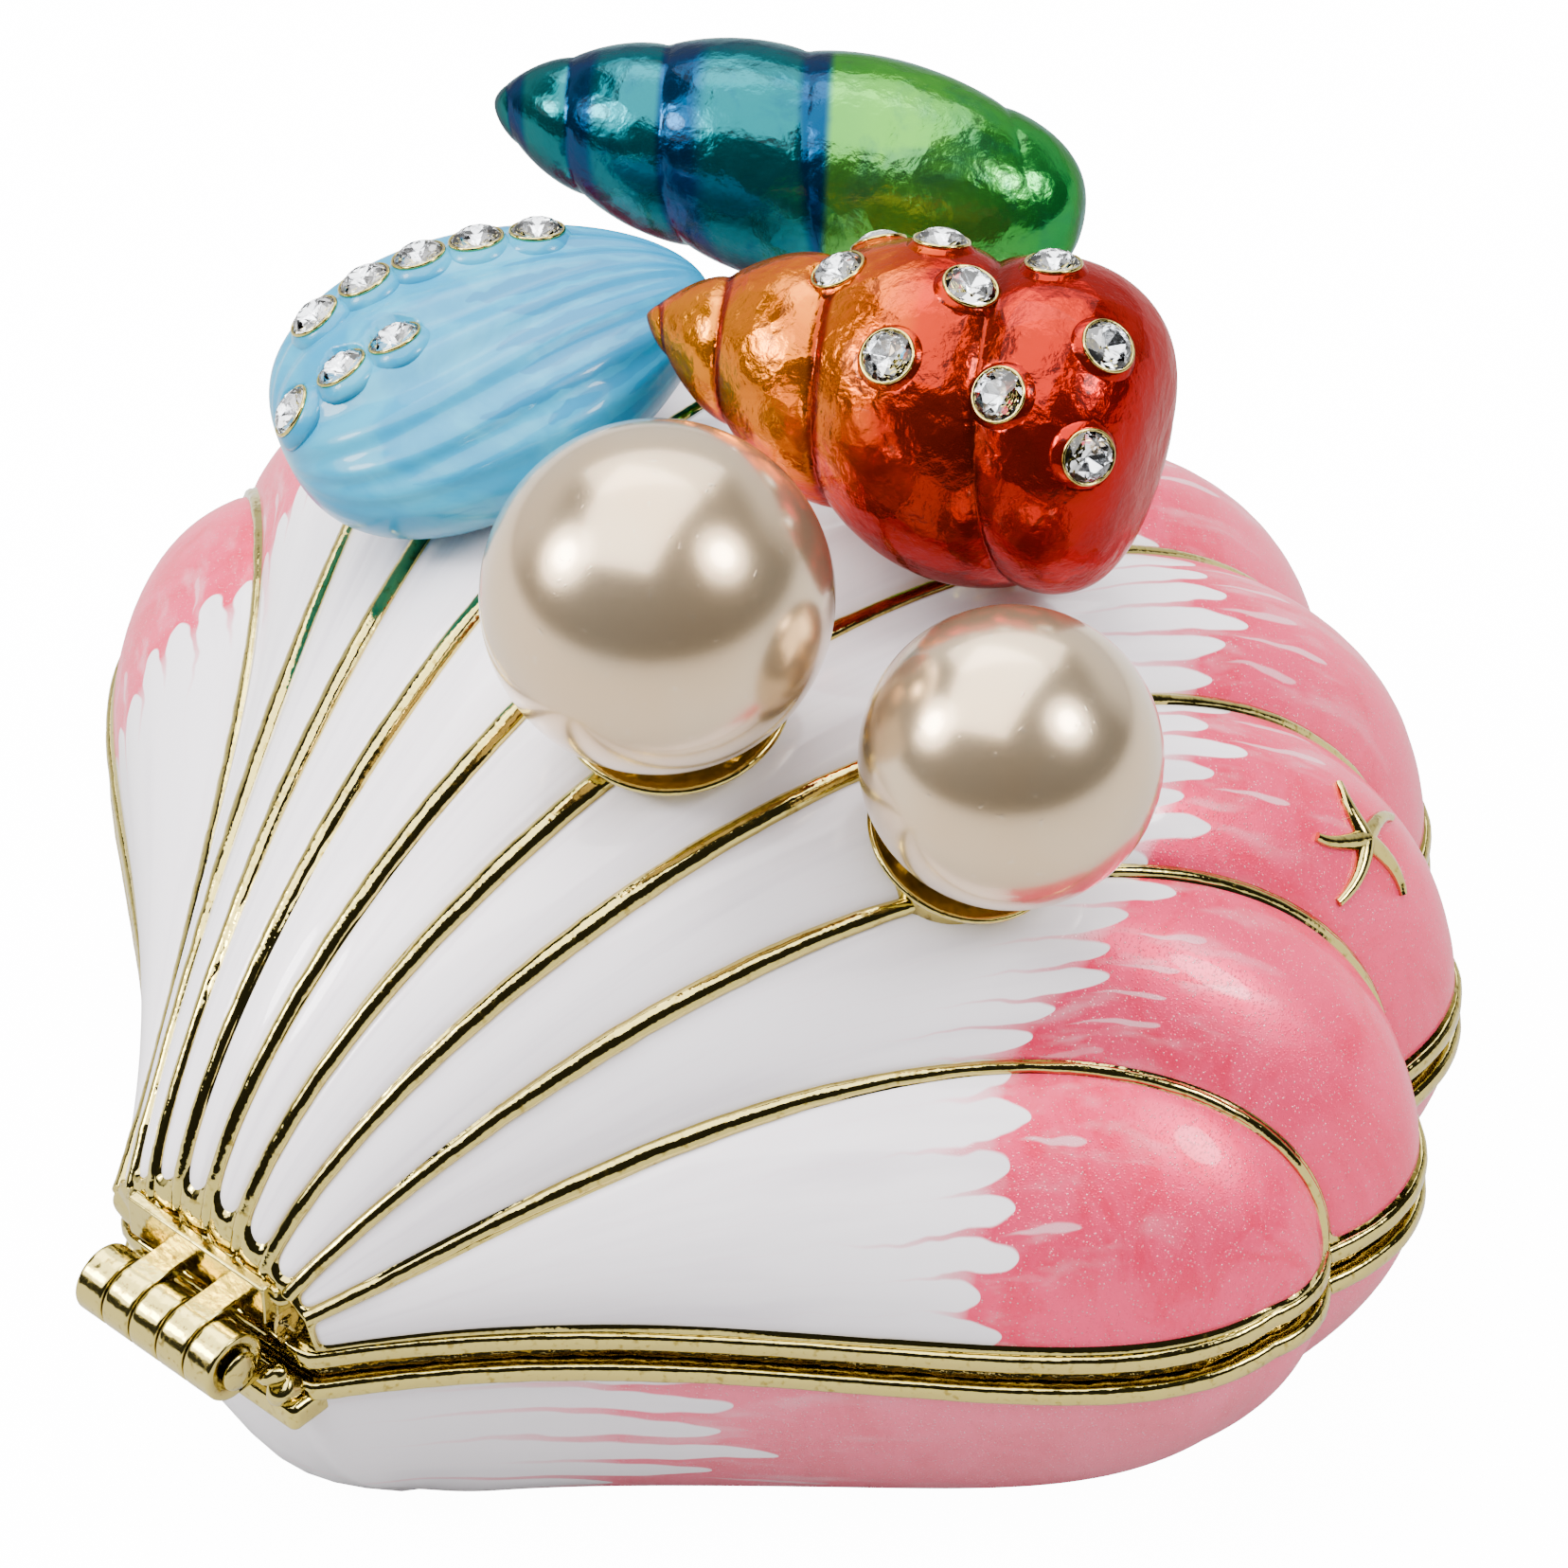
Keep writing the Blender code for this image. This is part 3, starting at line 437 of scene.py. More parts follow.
# Enamel on the box: white near the hinge, combed into pearly pink toward the rim. The combing
# begins at a share of the way to the rim, which falls toward the sides.
def makeBoxEnamel(name, start, startFall, fingers, grain, fullness, teeth):
    material, tree, shader = newMaterial(
        name, enamelColours["white"][:3], Specular_IOR_Level=0.15, Specular_Tint=(1.0, 0.50, 0.58, 1.0),
        Coat_Roughness=0.07)
    number, share = attribute(tree, "fanPlace")[:2]
    place = compose(number * fingers, share)
    begins = start - startFall * absOf(number) ** 3.3
    comb = useGroup(tree, combing, {"Place": place, "Start": begins, **teeth})["Mask"]
    flakes = useGroup(tree, mica, {})
    flake = flakes["Flake"]
    swirl = noise(compose(number * grain * 0.5, share * 14.0), 1.0, 4.0, 0.6, 1.6)
    pink = blend(smooth(swirl, 0.38, 0.68), enamelColours["pink"], enamelColours["rose"])
    pink = blend(flake * 0.8, pink, enamelColours["palePink"])
    streaks = noise(compose(number * grain, share * 3.0), 1.0, 3.0, 0.5, 0.4)
    white = blend(smooth(streaks, 0.45, 0.75) * 0.55, enamelColours["white"], enamelColours["shade"])
    paint(shader, Base_Color=blend(comb * fullness, white, pink), Metallic=comb * lerp(0.38, 0.9, flake),
          Coat_Weight=lerp(0.9, 0.35, comb), Roughness=lerp(0.30, lerp(0.38, 0.22, flake), comb))
    bump(shader, noise(objectPlace(tree), 380.0, 2.0) + flakes["Height"] * comb * 0.45, 0.05 * mm)
    return material


lidEnamel, baseEnamel = (makeBoxEnamel(name, **look) for name, look in boxEnamels.items())
pearlLook = {"colour": (0.60, 0.455, 0.295), "speck": (0.62, 0.55, 0.46, 1.0)}


def makePearl(name, colour, speck):
    material, tree, shader = newMaterial(name, colour, Metallic=0.86, Roughness=0.22, Coat_Weight=0.5,
                                         Coat_Roughness=0.05)
    spot = objectPlace(tree)
    cloud = noise(spot, 120.0, 3.0, 0.5, 0.6)
    specks = smooth(noise(spot, 2600.0, 2.0), 0.66, 0.74)
    warm = (colour[0], colour[1] * 0.95, colour[2] * 0.88, 1.0)
    tone = blend(smooth(cloud, 0.35, 0.7), (*colour, 1.0), warm)
    paint(shader, Base_Color=blend(specks * 0.25, tone, speck))
    bump(shader, cloud + specks * 0.1, 0.03 * mm)
    return material


pearlCoat = makePearl("pearlCoat", **pearlLook)

# Each tone is given with where it begins, from the tip at 0 to the open end at 1
candies = {
    "amberRed": {
        "tones": ((0.0, (0.58, 0.190, 0.0)), (0.40, (0.56, 0.125, 0.0)), (0.56, (0.28, 0.012, 0.0)),
                  (0.8, (0.18, 0.004, 0.0))),
        "footTones": ((0.0, (0.27, 0.020, 0.0)), (0.7, (0.25, 0.008, 0.0)), (1.0, (0.30, 0.004, 0.001))),
        "footStart": 0.70, "seam": (0.16, 0.008, 0.0), "seamWidth": 0.10, "sheen": (0.55, 0.03, 0.0),
        "creaseSize": 1.6, "depth": 0.16 * mm,
    },
    "tealGreen": {
        "tones": ((0.0, (0.001, 0.095, 0.085)), (0.2, (0.0, 0.090, 0.110)), (0.6, (0.0, 0.090, 0.098))),
        "footTones": ((0.0, (0.035, 0.20, 0.015)), (0.72, (0.07, 0.27, 0.03)), (1.0, (0.01, 0.20, 0.03))),
        "footStart": 0.565, "seam": (0.0, 0.018, 0.075), "seamWidth": 0.40, "sheen": (0.0, 0.25, 0.28),
        "creaseSize": 1.8, "depth": 0.12 * mm,
    },
}
footRing = {"slant": 0.05, "turn": 0.24, "edge": (-0.008, 0.012)}


# Clear coloured enamel over crumpled foil. One row of tones runs along the spire and a second
# along the foot, which begins at a slanting ring, and a darker tone fills the seams between turns.
def makeCandy(name, tones, footTones, footStart, seam, seamWidth, sheen, creaseSize, depth):
    material, tree, shader = newMaterial(
        name, tones[-1][1], Metallic=0.85, Specular_Tint=(*sheen, 1.0), Coat_Weight=0.1, Coat_Roughness=0.03)
    along, around, phase = attribute(tree, "shellPlace")
    spot = objectPlace(tree)
    scraps = useGroup(tree, foil, {"Crease Size": creaseSize})
    swayed = along + (noise(spot, 220.0, 3.0) - 0.5) * 0.14
    ring = footStart + sinOf((around - footRing["turn"]) * fullTurn) * footRing["slant"]
    onFoot = smooth(along - ring, *footRing["edge"])
    tone = blend(onFoot, toneRamp(swayed, tones), toneRamp(swayed, footTones))
    turnPlace = calc("FRACT", phase + (noise(spot, 400.0, 2.0) - 0.5) * 0.05)
    band = (1.0 - smooth(turnPlace, seamWidth * 0.6, seamWidth)) + smooth(turnPlace, 0.94, 1.0)
    band = band * (1.0 - onFoot * 0.9)
    tone = blend(band * 0.85, tone, (*seam, 1.0))
    cloud = smooth(noise(spot, 300.0, 4.0, 0.6, 1.0), 0.5, 0.72)
    tone = blend(cloud * 0.35, tone, (*seam, 1.0))
    paint(shader, Base_Color=tone, Roughness=lerp(0.17, 0.23, scraps["Glint"]))
    bump(shader, scraps["Height"], depth)
    return material


def toneRamp(place, tones):
    ramp = addNode(place.tree, "ShaderNodeValToRGB", {"Fac": place})
    while len(ramp.color_ramp.elements) < len(tones):
        ramp.color_ramp.elements.new(0.5)
    for element, (at, tone) in zip(ramp.color_ramp.elements, tones):
        element.position = at
        element.color = (*tone, 1.0)
    return Wire(ramp.outputs["Color"])


amberRed, tealGreen = (makeCandy(name, **look) for name, look in candies.items())
cockleLook = {
    "deep": ((0.0, 0.148, 0.30, 1.0), (0.0, 0.17, 0.33, 1.0)),
    "pale": ((0.0, 0.20, 0.37, 1.0), (0.018, 0.28, 0.44, 1.0)),
    "comb": {"Start": 0.45, "Taper": 0.2, "Ragged": 0.35, "Gap": 0.35, "Gap Length": 0.4, "Wisp Length": 0.3},
    "fingers": 30.0,
}


def makeCockleEnamel():
    material, tree, shader = newMaterial("cockleEnamel", (0.25, 0.60, 0.80), Roughness=0.3,
                                         Specular_IOR_Level=0.15, Coat_Weight=0.35, Coat_Roughness=0.05)
    along, around = attribute(tree, "shellPlace")[:2]
    place = compose(around * cockleLook["fingers"], along)
    comb = useGroup(tree, combing, {"Place": place, **cockleLook["comb"]})["Mask"]
    cloud = noise(objectPlace(tree), 150.0, 4.0, 0.6, 1.5)
    deep = blend(smooth(cloud, 0.35, 0.7), *cockleLook["deep"])
    pale = blend(smooth(cloud, 0.4, 0.65), *cockleLook["pale"])
    paint(shader, Base_Color=blend(comb, deep, pale))
    bump(shader, cloud, 0.06 * mm)
    return material


def makeCrystal():
    material, tree, shader = newMaterial("crystal", (0.97, 0.98, 1.0), Roughness=0.0, IOR=1.6,
                                         Transmission_Weight=1.0)
    dust = smooth(noise(objectPlace(tree), 5200.0, 2.0), 0.62, 0.8)
    paint(shader, Base_Color=blend(dust * 0.25, (0.98, 0.99, 1.0, 1.0), (0.85, 0.87, 0.9, 1.0)))
    return material


cockleEnamel, crystalGlass = makeCockleEnamel(), makeCrystal()
print("materials made")


# The fan that shapes the lid and the rim. Ribs are numbered from -4 to 4, and 5 is the rim
# beside the hinge.
fanSizes = {
    "Fan Centre": 37.5 * mm,
    "Umbo Y": 27.4 * mm,
    "Umbo Half Width": 5.8 * mm,
    "Umbo Step": math.radians(17.5),
    "Umbo Height": 4.2 * mm,
    "Umbo Fall": 0.11 * mm,
    "Fan Step": math.radians(9.2),
    "Rib Reach": 68.5 * mm,
    "Reach Fall": 1.30 * mm,
    "Reach Rise": 0.021 * mm,
    "Dome Height": 19.1 * mm,
    "Dome Fall": 0.437 * mm,
    "Dome Fast Fall": 0.0119 * mm,
    "Back Fullness": 0.647,
    "Back Fullness Step": 0.030,
    "Front Fullness": 0.522,
    "Front Fullness Step": 0.0053,
    "Rim Height": 14.62 * mm,
}
lastRib = 4.0
ribRoot = 14.2 * mm  # the height the arches rise from
sideCurve = {
    "leaves": (5.6 * mm, 27.0 * mm),
    "firstPull": (17.4 * mm, 10.3 * mm),
    "secondPull": (36.8 * mm, 7.2 * mm),
    "share": 0.88,
}
backEdge = {"y": 27.3 * mm, "halfWidth": 5.3 * mm}
boxMiddleY = -2.0 * mm
onePlace = {"Position": (0.0, 0.0, 0.0)}


# Rises from 0 and falls back to 0, with a top of 1 where the two powers balance
def arch(share, rise, fall):
    crest = rise / (rise + fall)
    return (share / crest) ** rise * ((1.0 - share) / (1.0 - crest)) ** fall


def makeFanPoint():
    tree, given, end = shapeTree("fanPoint", {"Number": 0.0, "Share": 0.5, **fanSizes}, onePlace)
    number, share = given["Number"], given["Share"]
    side, k = signOf(number), absOf(number)
    kk = k * k
    centre = given["Fan Centre"]
    depth = centre - given["Umbo Y"]
    startX = sinOf(k * given["Umbo Step"]) * given["Umbo Half Width"]
    startReach = rootOf(startX * startX + depth * depth)
    endReach = given["Rib Reach"] - given["Reach Fall"] * kk + given["Reach Rise"] * kk * kk
    reach = lerp(startReach, endReach, share)
    angle = lerp(calc("ARCTAN2", startX, depth), k * given["Fan Step"], share * share)
    back = given["Back Fullness"] + given["Back Fullness Step"] * kk
    front = given["Front Fullness"] - given["Front Fullness Step"] * kk
    height = given["Dome Height"] - given["Dome Fall"] * kk - given["Dome Fast Fall"] * kk * kk
    height = height * arch(share, back, front)
    height = height + (given["Umbo Height"] - given["Umbo Fall"] * kk) * (1.0 - share)
    height = height + (given["Rim Height"] - ribRoot) * share + ribRoot
    rib = compose(side * reach * sinOf(angle), centre - reach * cosOf(angle), height)
    cuspReach = given["Rib Reach"] - given["Reach Fall"] * lastRib ** 2 + given["Reach Rise"] * lastRib ** 4
    cuspAngle = given["Fan Step"] * lastRib
    cusp = (cuspReach * sinOf(cuspAngle), centre - cuspReach * cosOf(cuspAngle))
    run = share * sideCurve["share"]
    rest = 1.0 - run
    flat = []
    for axis in (0, 1):
        near = rest * rest * rest * sideCurve["leaves"][axis] + cusp[axis] * run * run * run
        pulls = rest * sideCurve["firstPull"][axis] + run * sideCurve["secondPull"][axis]
        flat.append(near + rest * run * 3.0 * pulls)
    beside = compose(side * flat[0], flat[1], given["Rim Height"])
    feed(end.inputs["Position"], glide(rib, beside, isOver(k, lastRib + 0.5)))
    return tree


fanPoint = makeFanPoint()
fluteSwell = {"back": 0.09, "front": 0.24, "last": 0.15}


# A point of the fluted skin between two ribs, with the width of its flute
def makeSkinPoint():
    tree, given, end = shapeTree("skinPoint", {"Number": 0.0, "Share": 0.5, "Swell": 1.0, "Lift": 0.0},
                                 {**onePlace, "Width": 0.01})
    number, share = given["Number"], given["Share"]
    flute = minOf(maxOf(floorOf(number), -lastRib - 1.0), lastRib)
    across = number - flute
    nudge = 0.01  # along the ribs, for the direction of the skin

    def ribPair(at):
        pair = [useGroup(tree, fanPoint, {"Number": flute + step, "Share": at})["Position"]
                for step in (0.0, 1.0)]
        return *pair, glide(*pair, across)

    left, right, middle = ribPair(share)
    before = ribPair(maxOf(share - nudge, 0.0))[2]
    after = ribPair(minOf(share + nudge, 1.0))[2]
    outward = vec("CROSS_PRODUCT", vec("SUBTRACT", after, before), vec("SUBTRACT", right, left))
    x, y, z = split(outward)
    outward = vec("NORMALIZE", compose(x, y, z * (1.0 - smooth(share, 0.98, 1.0))))
    width = vec("DISTANCE", left, right)
    fullness = lerp(fluteSwell["back"], fluteSwell["front"], share ** 4.0)
    fullness = lerp(fullness, fluteSwell["last"], isOver(absOf(flute + 0.5), lastRib))
    rise = given["Swell"] * fullness * width * across * (1.0 - across) * 4.0
    rise = rise + given["Lift"] * smooth(width, 0.3 * mm, 1.2 * mm)
    feed(end.inputs["Position"], vec("ADD", middle, vec("SCALE", outward, rise)))
    feed(end.inputs["Width"], width)
    return tree


skinPoint = makeSkinPoint()
ribRadius = {"root": 0.36 * mm, "middle": 0.54 * mm, "rim": 0.27 * mm}


def skinAt(tree, **feeds):
    return useGroup(tree, skinPoint, feeds)["Position"]


def ribRadiusAt(share):
    grown = lerp(ribRadius["root"], ribRadius["middle"], smooth(share, 0.0, 0.2))
    return lerp(grown, ribRadius["rim"], smooth(share, 0.25, 0.75))


# A grid laid over the fan. Gold rises above the enamel beside the ribs, at the plate above the
# hinge and at the rim, and sinks below it elsewhere.
def makeFanSheet():
    sizes = {"Flutes": 10, "Steps": 24, "Rows": 160, "Back Rows": 0.0, "Proud": 0.0, "Sunk": 0.0,
             "Plate Share": 0.004, "Material": castGold}
    tree, given, end = shapeTree("fanSheet", sizes)
    grid, x, y = unitGrid(tree, given["Flutes"] * given["Steps"] + 1.0, given["Rows"])
    place = x * given["Flutes"] + 0.0001
    flute = minOf(floorOf(place), given["Flutes"] - 1.0)
    across = ease(place - flute)
    number = flute + across - given["Flutes"] * 0.5
    row = y * (given["Back Rows"] + 1.0) - given["Back Rows"]
    share = ease(maxOf(row, 0.0))
    bare = useGroup(tree, skinPoint, {"Number": number, "Share": share})
    ribGap = minOf(across, 1.0 - across) * bare["Width"] - ribRadiusAt(share) * 0.8
    plateGap = (share - given["Plate Share"]) * fanSizes["Rib Reach"]
    rimGap = split(bare["Position"])[2] - fanSizes["Rim Height"] - 0.12 * mm
    rimGap = rimGap + (1.0 - smooth(share, 0.3, 0.5)) * 20.0 * mm  # out of reach near the hinge
    gap = calc("SMOOTH_MIN", calc("SMOOTH_MIN", ribGap, plateGap, 0.8 * mm), rimGap, 0.9 * mm)
    lift = lerp(given["Proud"], given["Sunk"], smooth(gap, -0.1 * mm, 0.25 * mm))
    onSkin = skinAt(tree, Number=number, Share=share, Lift=lift)
    edge = compose(number * (backEdge["halfWidth"] / (lastRib + 1.0)), backEdge["y"], fanSizes["Rim Height"])
    backShare = maxOf(row * -1.0, 0.0) / maxOf(given["Back Rows"], 0.001)
    return laySheet(tree, end, grid, "fanPlace", compose(number, share), "POINT",
                    glide(onSkin, edge, backShare), given["Material"])


lidSheets = {
    "lid_enamel": {"Steps": 24, "Rows": 170, "Proud": -0.12 * mm, "Sunk": 0.03 * mm, "Material": lidEnamel},
    "lid_casting": {"Steps": 20, "Rows": 150, "Back Rows": 0.06, "Proud": 0.16 * mm, "Sunk": -0.3 * mm,
                    "Material": castGold},
}
walls = {"lid": 1.75 * mm, "base": 1.6 * mm}


# One line for each of a row of wires: the lines, their numbers and the share along them
def lineCopies(tree, count, steps):
    line = geo(tree, "ResampleCurve", {"Curve": geo(tree, "CurvePrimitiveLine"), "Count": steps})
    copies = addNode(tree, "GeometryNodeDuplicateElements", {"Geometry": line, "Amount": count},
                     domain="SPLINE")
    found = [Wire(copies.outputs[label]) for label in ("Geometry", "Duplicate Index")]
    return *found, geo(tree, "SplineParameter")


# Sweeps a round wire along each rib
def makeRibSweep():
    sizes = {"Ribs": 9, "Steps": 160, "Sides": 14, "Ripple": 0.07 * mm, "Ripple Size": 1.4,
             "Material": castGold}
    tree, given, end = shapeTree("ribSweep", sizes)
    lines, index, factor = lineCopies(tree, given["Ribs"], given["Steps"])
    share = ease(factor)
    place = skinAt(tree, Number=index - (given["Ribs"] - 1.0) * 0.5, Share=share, Swell=0.0)
    path = geo(tree, "SetPosition", {"Geometry": lines, "Position": place})
    shape = sweep(path, ribRadiusAt(share), given["Sides"])
    return closeTree(tree, end, ripple(shape, given["Ripple"], given["Ripple Size"]), given["Material"])


# Squareness under 1 flattens the section's four sides
def sweep(path, radius, sides, squareness=1.0):
    tree = path.tree
    ring = geo(tree, "CurvePrimitiveCircle", {"Resolution": sides, "Radius": 1.0}, "Curve")
    flat = [signOf(side) * absOf(side) ** squareness for side in split(geo(tree, "InputPosition"))[:2]]
    ring = geo(tree, "SetPosition", {"Geometry": ring, "Position": compose(*flat)})
    feeds = {"Curve": path, "Profile Curve": ring, "Fill Caps": True, "Scale": radius}
    return geo(tree, "CurveToMesh", feeds)


# The slightly wavy surface of a hand-finished casting
def ripple(shape, depth, size):
    bumps = noise(geo(shape.tree, "InputPosition"), 1.0 / mm / size, 2.0)
    push = vec("SCALE", geo(shape.tree, "InputNormal"), (bumps - 0.5) * depth * 2.0)
    return geo(shape.tree, "SetPosition", {"Geometry": shape, "Offset": push})


fanSheet, ribSweep = makeFanSheet(), makeRibSweep()
print("fan trees made")

# The rim outline: one turn runs over the lobes, in along the right side, across the back and
# out along the left side
rimTurns = {"lobes": 0.60, "side": 0.19}


def makeRimPoint():
    tree, given, end = shapeTree("rimPoint", {"Turn": 0.0, "Swell": 1.0}, onePlace)
    turn = given["Turn"]
    lobes, side = rimTurns["lobes"], rimTurns["side"]
    backFrom = lobes + side
    backTo = 1.0 - side
    flutes = (lastRib + 1.0) * 2.0
    number = minOf(turn / lobes, 1.0) * flutes - flutes / 2.0
    point = skinAt(tree, Number=number, Share=1.0, Swell=given["Swell"])
    sides = ((lastRib + 1.0, 1.0 - (turn - lobes) / side), (-lastRib - 1.0, (turn - backTo) / side))
    right, left = (useGroup(tree, fanPoint, {"Number": rib, "Share": maxOf(share, 0.0)})["Position"]
                   for rib, share in sides)
    cross = (turn - backFrom) / (backTo - backFrom)
    back = compose(lerp(backEdge["halfWidth"], -backEdge["halfWidth"], cross), backEdge["y"])
    for stretch, begins in ((right, lobes), (back, backFrom), (left, backTo)):
        point = glide(point, stretch, isOver(turn, begins))
    feed(end.inputs["Position"], vec("MULTIPLY", point, (1.0, 1.0, 0.0)))
    return tree


rimPoint = makeRimPoint()


# A point moved toward the middle of the box in plan, and set at a height
def drawIn(point, inset, height):
    out = vec("NORMALIZE", vec("SUBTRACT", point, (0.0, boxMiddleY, 0.0)))
    x, y = split(vec("SUBTRACT", point, vec("SCALE", out, inset)))[:2]
    return compose(x, y, height)


def makeRimSweep():
    sizes = {"Steps": 800, "Height": 14.2 * mm, "Inset": 0.0, "Radius": 0.42 * mm, "Squareness": 1.0,
             "Sides": 20, "Ripple": 0.05 * mm, "Ripple Size": 1.6, "Material": castGold}
    tree, given, end = shapeTree("rimSweep", sizes)
    turn = geo(tree, "InputIndex") / given["Steps"]
    point = useGroup(tree, rimPoint, {"Turn": turn})["Position"]
    path = geo(tree, "SetPosition", {"Geometry": geo(tree, "MeshLine", {"Count": given["Steps"]}),
                                     "Position": drawIn(point, given["Inset"], given["Height"])})
    path = geo(tree, "MeshToCurve", {"Mesh": path})
    path = geo(tree, "SetSplineCyclic", {"Geometry": path, "Cyclic": True})
    path = geo(tree, "ResampleCurve", {"Curve": path, "Count": given["Steps"]})
    shape = sweep(path, given["Radius"], given["Sides"], given["Squareness"])
    return closeTree(tree, end, ripple(shape, given["Ripple"], given["Ripple Size"]), given["Material"])


lipSection = {"Squareness": 0.6, "Material": castGold}
flangeSection = {"Inset": 0.9 * mm, "Radius": 0.36 * mm, "Ripple": 0.20 * mm, "Ripple Size": 0.9,
                 "Material": innerGold}
rimRings = {
    "lid_lip": ("lid", {"Height": 14.2 * mm, "Inset": 0.12 * mm, "Radius": 0.47 * mm, **lipSection}),
    "lid_flange": ("lid", {"Height": 13.75 * mm, **flangeSection}),
    "base_lip": ("base", {"Height": 12.4 * mm, "Inset": 0.14 * mm, "Radius": 0.49 * mm, **lipSection}),
    "base_flange": ("base", {"Height": 12.75 * mm, **flangeSection}),
}

bowl = {
    "Top": 12.4 * mm,
    "Under Share": 0.61,
    "Power": 1.75,
    "Under Middle": 2.3 * mm,
    "Under Swell": 0.35,
    "Waist": 3.0 * mm,
    "Waist Y": 7.0 * mm,
    "Waist Length": 6.0 * mm,
    "Back Round": 3.5 * mm,
    "Back Share": 0.4,
    "Back Corner": 4.2 * mm,
    "Back From": 19.0 * mm,
    "Back Full": 24.0 * mm,
    "Finger Level": 8.0 * mm,  # the height that a full set of combed fingers takes
}


# The base's bowl: rim outlines shrink toward the underside along a quarter round, and the last
# fifth of the rows closes the underside
def makeBowl():
    tree, given, end = shapeTree("bowl", {"Turn Steps": 400, "Rows": 70, **bowl, "Material": baseEnamel})
    grid, turn, y = unitGrid(tree, given["Turn Steps"] + 1.0, given["Rows"])
    row = y * 1.25
    under = maxOf(row - 1.0, 0.0) * 4.0
    sine = sinOf(minOf(row, 1.0) * (math.pi / 2.0))
    full = maxOf(1.0 - sine ** given["Power"], 0.0) ** (1.0 / given["Power"])
    swell = lerp(given["Under Swell"], 1.0, full)
    share = lerp(given["Under Share"], 1.0, full)
    px, py = split(useGroup(tree, rimPoint, {"Turn": turn, "Swell": swell})["Position"])[:2]
    middle = lerp(given["Under Middle"], boxMiddleY, full)
    py = (py - boxMiddleY) * share
    px = px * share
    off = (py + middle - given["Waist Y"]) / given["Waist Length"]
    waist = calc("EXPONENT", off * off * -1.0) * given["Waist"] * (1.0 - full)
    corner = minOf(px * px / (given["Back Corner"] * given["Back Corner"]), 1.0)
    back = (given["Back Share"] - corner) * given["Back Round"] * (1.0 - full)
    py = py + back * smooth(py + middle, given["Back From"], given["Back Full"])
    px = (px - waist * signOf(px)) * (1.0 - under)
    py = py * (1.0 - under) + middle
    height = given["Top"] * (1.0 - sine)
    fromFan = fanSizes["Fan Centre"] - py
    reach = rootOf(px * px + fromFan * fromFan) / fanSizes["Rib Reach"]
    return laySheet(tree, end, grid, "fanPlace", compose(height / given["Finger Level"], reach), "POINT",
                    compose(px, py, height), given["Material"])


lidEnamelPiece, lidCasting = (grow(name, fanSheet, sizes) for name, sizes in lidSheets.items())
rimSweep = makeRimSweep()
lidRibs = grow("lid_ribs", ribSweep, {})
rings = {name: grow(name, rimSweep, sizes) for name, (body, sizes) in rimRings.items()}
baseBowl = grow("base_bowl", makeBowl(), {})
for piece in (lidEnamelPiece, lidCasting, baseBowl):
    tidyMesh(piece)
giveWall(lidCasting, walls["lid"])
giveWall(baseBowl, walls["base"])
print("lid and base made")


# Coiled shells. Each turn bulges and meets the next in a groove that climbs as it goes round,
# and the turns grow longer away from the tip.
def makeCoil():
    sizes = {"Length": 22.0 * mm, "Radius": 7.2 * mm, "Point Power": 0.75, "Foot Power": 0.27, "Turns": 4.0,
             "Turn Growth": 5.0, "Groove": 0.14, "Around Steps": 160, "Along Steps": 220,
             "Material": castGold}
    tree, given, end = shapeTree("coil", sizes)
    grid, x, y = unitGrid(tree, given["Around Steps"], given["Along Steps"])
    around, along = x * fullTurn, ease(y)
    body = arch(along, given["Point Power"], given["Foot Power"])
    climb = calc("LOGARITHM", along * given["Turn Growth"] + 1.0, given["Turn Growth"] + 1.0)
    phase = given["Turns"] * climb - around / fullTurn
    wave = absOf(sinOf(phase * math.pi))
    size = given["Radius"] * body * (1.0 - given["Groove"] * (1.0 - wave ** 0.6))
    point = compose(size * cosOf(around), size * sinOf(around), given["Length"] * along)
    place = compose(along, around / fullTurn, phase)
    return laySheet(tree, end, grid, "shellPlace", place, "CORNER", point, given["Material"])


# The cockle: a flattened fan of an oval section, ribbed on its upper half, with swaying ribs
def makeCockle():
    sizes = {"Length": 19.0 * mm, "Half Width": 7.7 * mm, "Half Thickness": 4.1 * mm, "Ribs": 9.0,
             "Rib Depth": 0.032, "Sway": 1.3, "Around Steps": 240, "Along Steps": 140,
             "Material": cockleEnamel}
    tree, given, end = shapeTree("cockle", sizes)
    grid, x, y = unitGrid(tree, given["Around Steps"], given["Along Steps"])
    around, along = x * fullTurn, ease(y)
    spread = arch(along, 0.6, 0.4)
    onTop = maxOf(sinOf(around), 0.0)
    sway = sinOf(along * 6.0 + around * 3.0) * given["Sway"]
    rib = 1.0 + given["Rib Depth"] * cosOf(around * given["Ribs"] * 2.0 + sway) * onTop
    point = compose(given["Half Width"] * spread * rib * cosOf(around),
                    given["Half Thickness"] * spread * rib * sinOf(around), given["Length"] * along)
    place = compose(along, around / fullTurn)
    return laySheet(tree, end, grid, "shellPlace", place, "CORNER", point, given["Material"])


